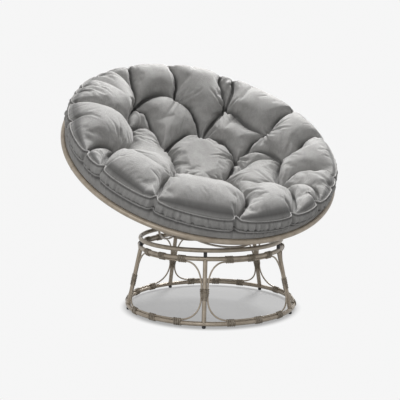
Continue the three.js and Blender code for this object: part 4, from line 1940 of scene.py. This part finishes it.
@dataclass
class Studio:
    """The pale floor, the soft light and the camera."""

    white: float = 0.92
    camera_place: tuple[float, float, float] = (-1.2496, -2.8481, 0.8120)
    heading: float = 23.53
    pitch: float = 7.56
    roll: float = 0.34
    lens: float = 72.25
    sensor: float = 36.0
    world_strength: float = 0.33
    lamps: tuple[Lamp, ...] = (
        Lamp("key", (0.75, 0.75, 3.3), 1.0, 112.0),
        Lamp("rim light", (1.6, 1.6, 2.5), 0.8, 80.0),
        Lamp("fill", (-2.4, -2.6, 1.8), 2.4, 40.0),
    )
    floor_half: float = 8.0
    floor_drop: float = 0.0002
    floor_grey: float = 0.38
    shade_reach: Pair = (0.312, 0.355)
    shade_glow: float = 0.38

    def camera(self) -> None:
        """Makes the camera at the photograph's view."""
        data = bpy.data.cameras.new("camera")
        data.lens = self.lens
        data.sensor_width = self.sensor
        data.clip_end = 60.0
        made = bpy.data.objects.new("camera", data)
        turn = Matrix.Rotation(-math.radians(self.heading), 4, "Z")
        turn @= Matrix.Rotation(math.radians(90 - self.pitch), 4, "X")
        turn @= Matrix.Rotation(math.radians(self.roll), 4, "Z")
        made.matrix_world = Matrix.Translation(self.camera_place) @ turn
        bpy.context.scene.collection.objects.link(made)
        bpy.context.scene.camera = made

    def shown(self, build: Tree) -> Socket:
        """Tells what the camera sees.

        Args:
            build: the tree that asks.

        Returns:
            A socket that is 1 for what the camera sees straight, in a mirror or through glass.
        """
        rays = build.node("ShaderNodeLightPath").outputs
        seen = build.math("MAXIMUM", rays["Is Camera Ray"], rays["Is Glossy Ray"])
        return build.math("MAXIMUM", seen, rays["Is Transmission Ray"])

    def world(self) -> None:
        """Lights the scene evenly and shows a white backdrop."""
        world = bpy.data.worlds.new("studio")
        world.use_nodes = True
        build = Tree(world.node_tree)
        plain = world.node_tree.nodes["Background"]
        plain.inputs["Color"].default_value = (1, 1, 1, 1)
        plain.inputs["Strength"].default_value = self.world_strength
        backdrop = build.out("ShaderNodeBackground", {"Color": (1, 1, 1, 1), "Strength": self.white})
        mix = build.out("ShaderNodeMixShader", {0: self.shown(build), 1: plain.outputs[0], 2: backdrop})
        build.tree.links.new(mix, world.node_tree.nodes["World Output"].inputs["Surface"])
        bpy.context.scene.world = world

    def floor(self, centre: Vector) -> None:
        """Lays a white floor that keeps the shadow under the stand.

        Args:
            centre: the middle of the shadow.
        """
        corners = np.array([(-1, -1, 0), (1, -1, 0), (1, 1, 0), (-1, 1, 0)]) * self.floor_half
        piece = new_mesh("floor", corners - self.floor_drop * UP, faces=[(0, 1, 2, 3)])
        material = bpy.data.materials.new("white floor")
        material.use_nodes = True
        build = Tree(material.node_tree)
        shader = material.node_tree.nodes["Principled BSDF"]
        shader.inputs["Roughness"].default_value = 0.9
        shader.inputs["Specular IOR Level"].default_value = 0.1
        shader.inputs["Base Color"].default_value = (self.floor_grey, self.floor_grey, self.floor_grey, 1)
        glow = build.out("ShaderNodeEmission", {"Color": (1, 1, 1, 1), "Strength": self.white})
        place = build.node("ShaderNodeTexCoord").outputs["Object"]
        shift = build.out("ShaderNodeVectorMath", {0: place, 1: (-centre.x, -centre.y, 0.0)}, operation="ADD")
        gap = build.node("ShaderNodeVectorMath", {0: shift}, operation="LENGTH").outputs["Value"]
        clear = build.node("ShaderNodeMapRange", {
            "Value": gap, "From Min": self.shade_reach[0], "From Max": self.shade_reach[1],
            "To Min": self.shade_glow, "To Max": 1.0,
        }, interpolation_type="SMOOTHSTEP").outputs["Result"]
        factor = build.math("MULTIPLY", clear, self.shown(build))
        mix = build.out("ShaderNodeMixShader", {0: factor, 1: shader.outputs[0], 2: glow})
        build.tree.links.new(mix, material.node_tree.nodes["Material Output"].inputs["Surface"])
        piece.data.materials.append(material)

    def build(self, centre: Vector) -> None:
        """Sets up the room.

        Args:
            centre: where the stand's axis meets the floor.
        """
        bpy.context.scene.view_settings.view_transform = "Standard"
        self.camera()
        self.world()
        self.floor(centre)
        for lamp in self.lamps:
            lamp.hang()


def main() -> None:
    """Builds the chair and its studio."""
    logging.basicConfig(level=logging.INFO, format="%(message)s")
    shop = Workshop()
    stand = Stand(shop)
    Studio().build(stand.place.translation)
    stand.build()
    bowl = Bowl(shop)
    bowl.build()
    Cushion(shop, bowl).build()


if __name__ == "__main__":
    main()
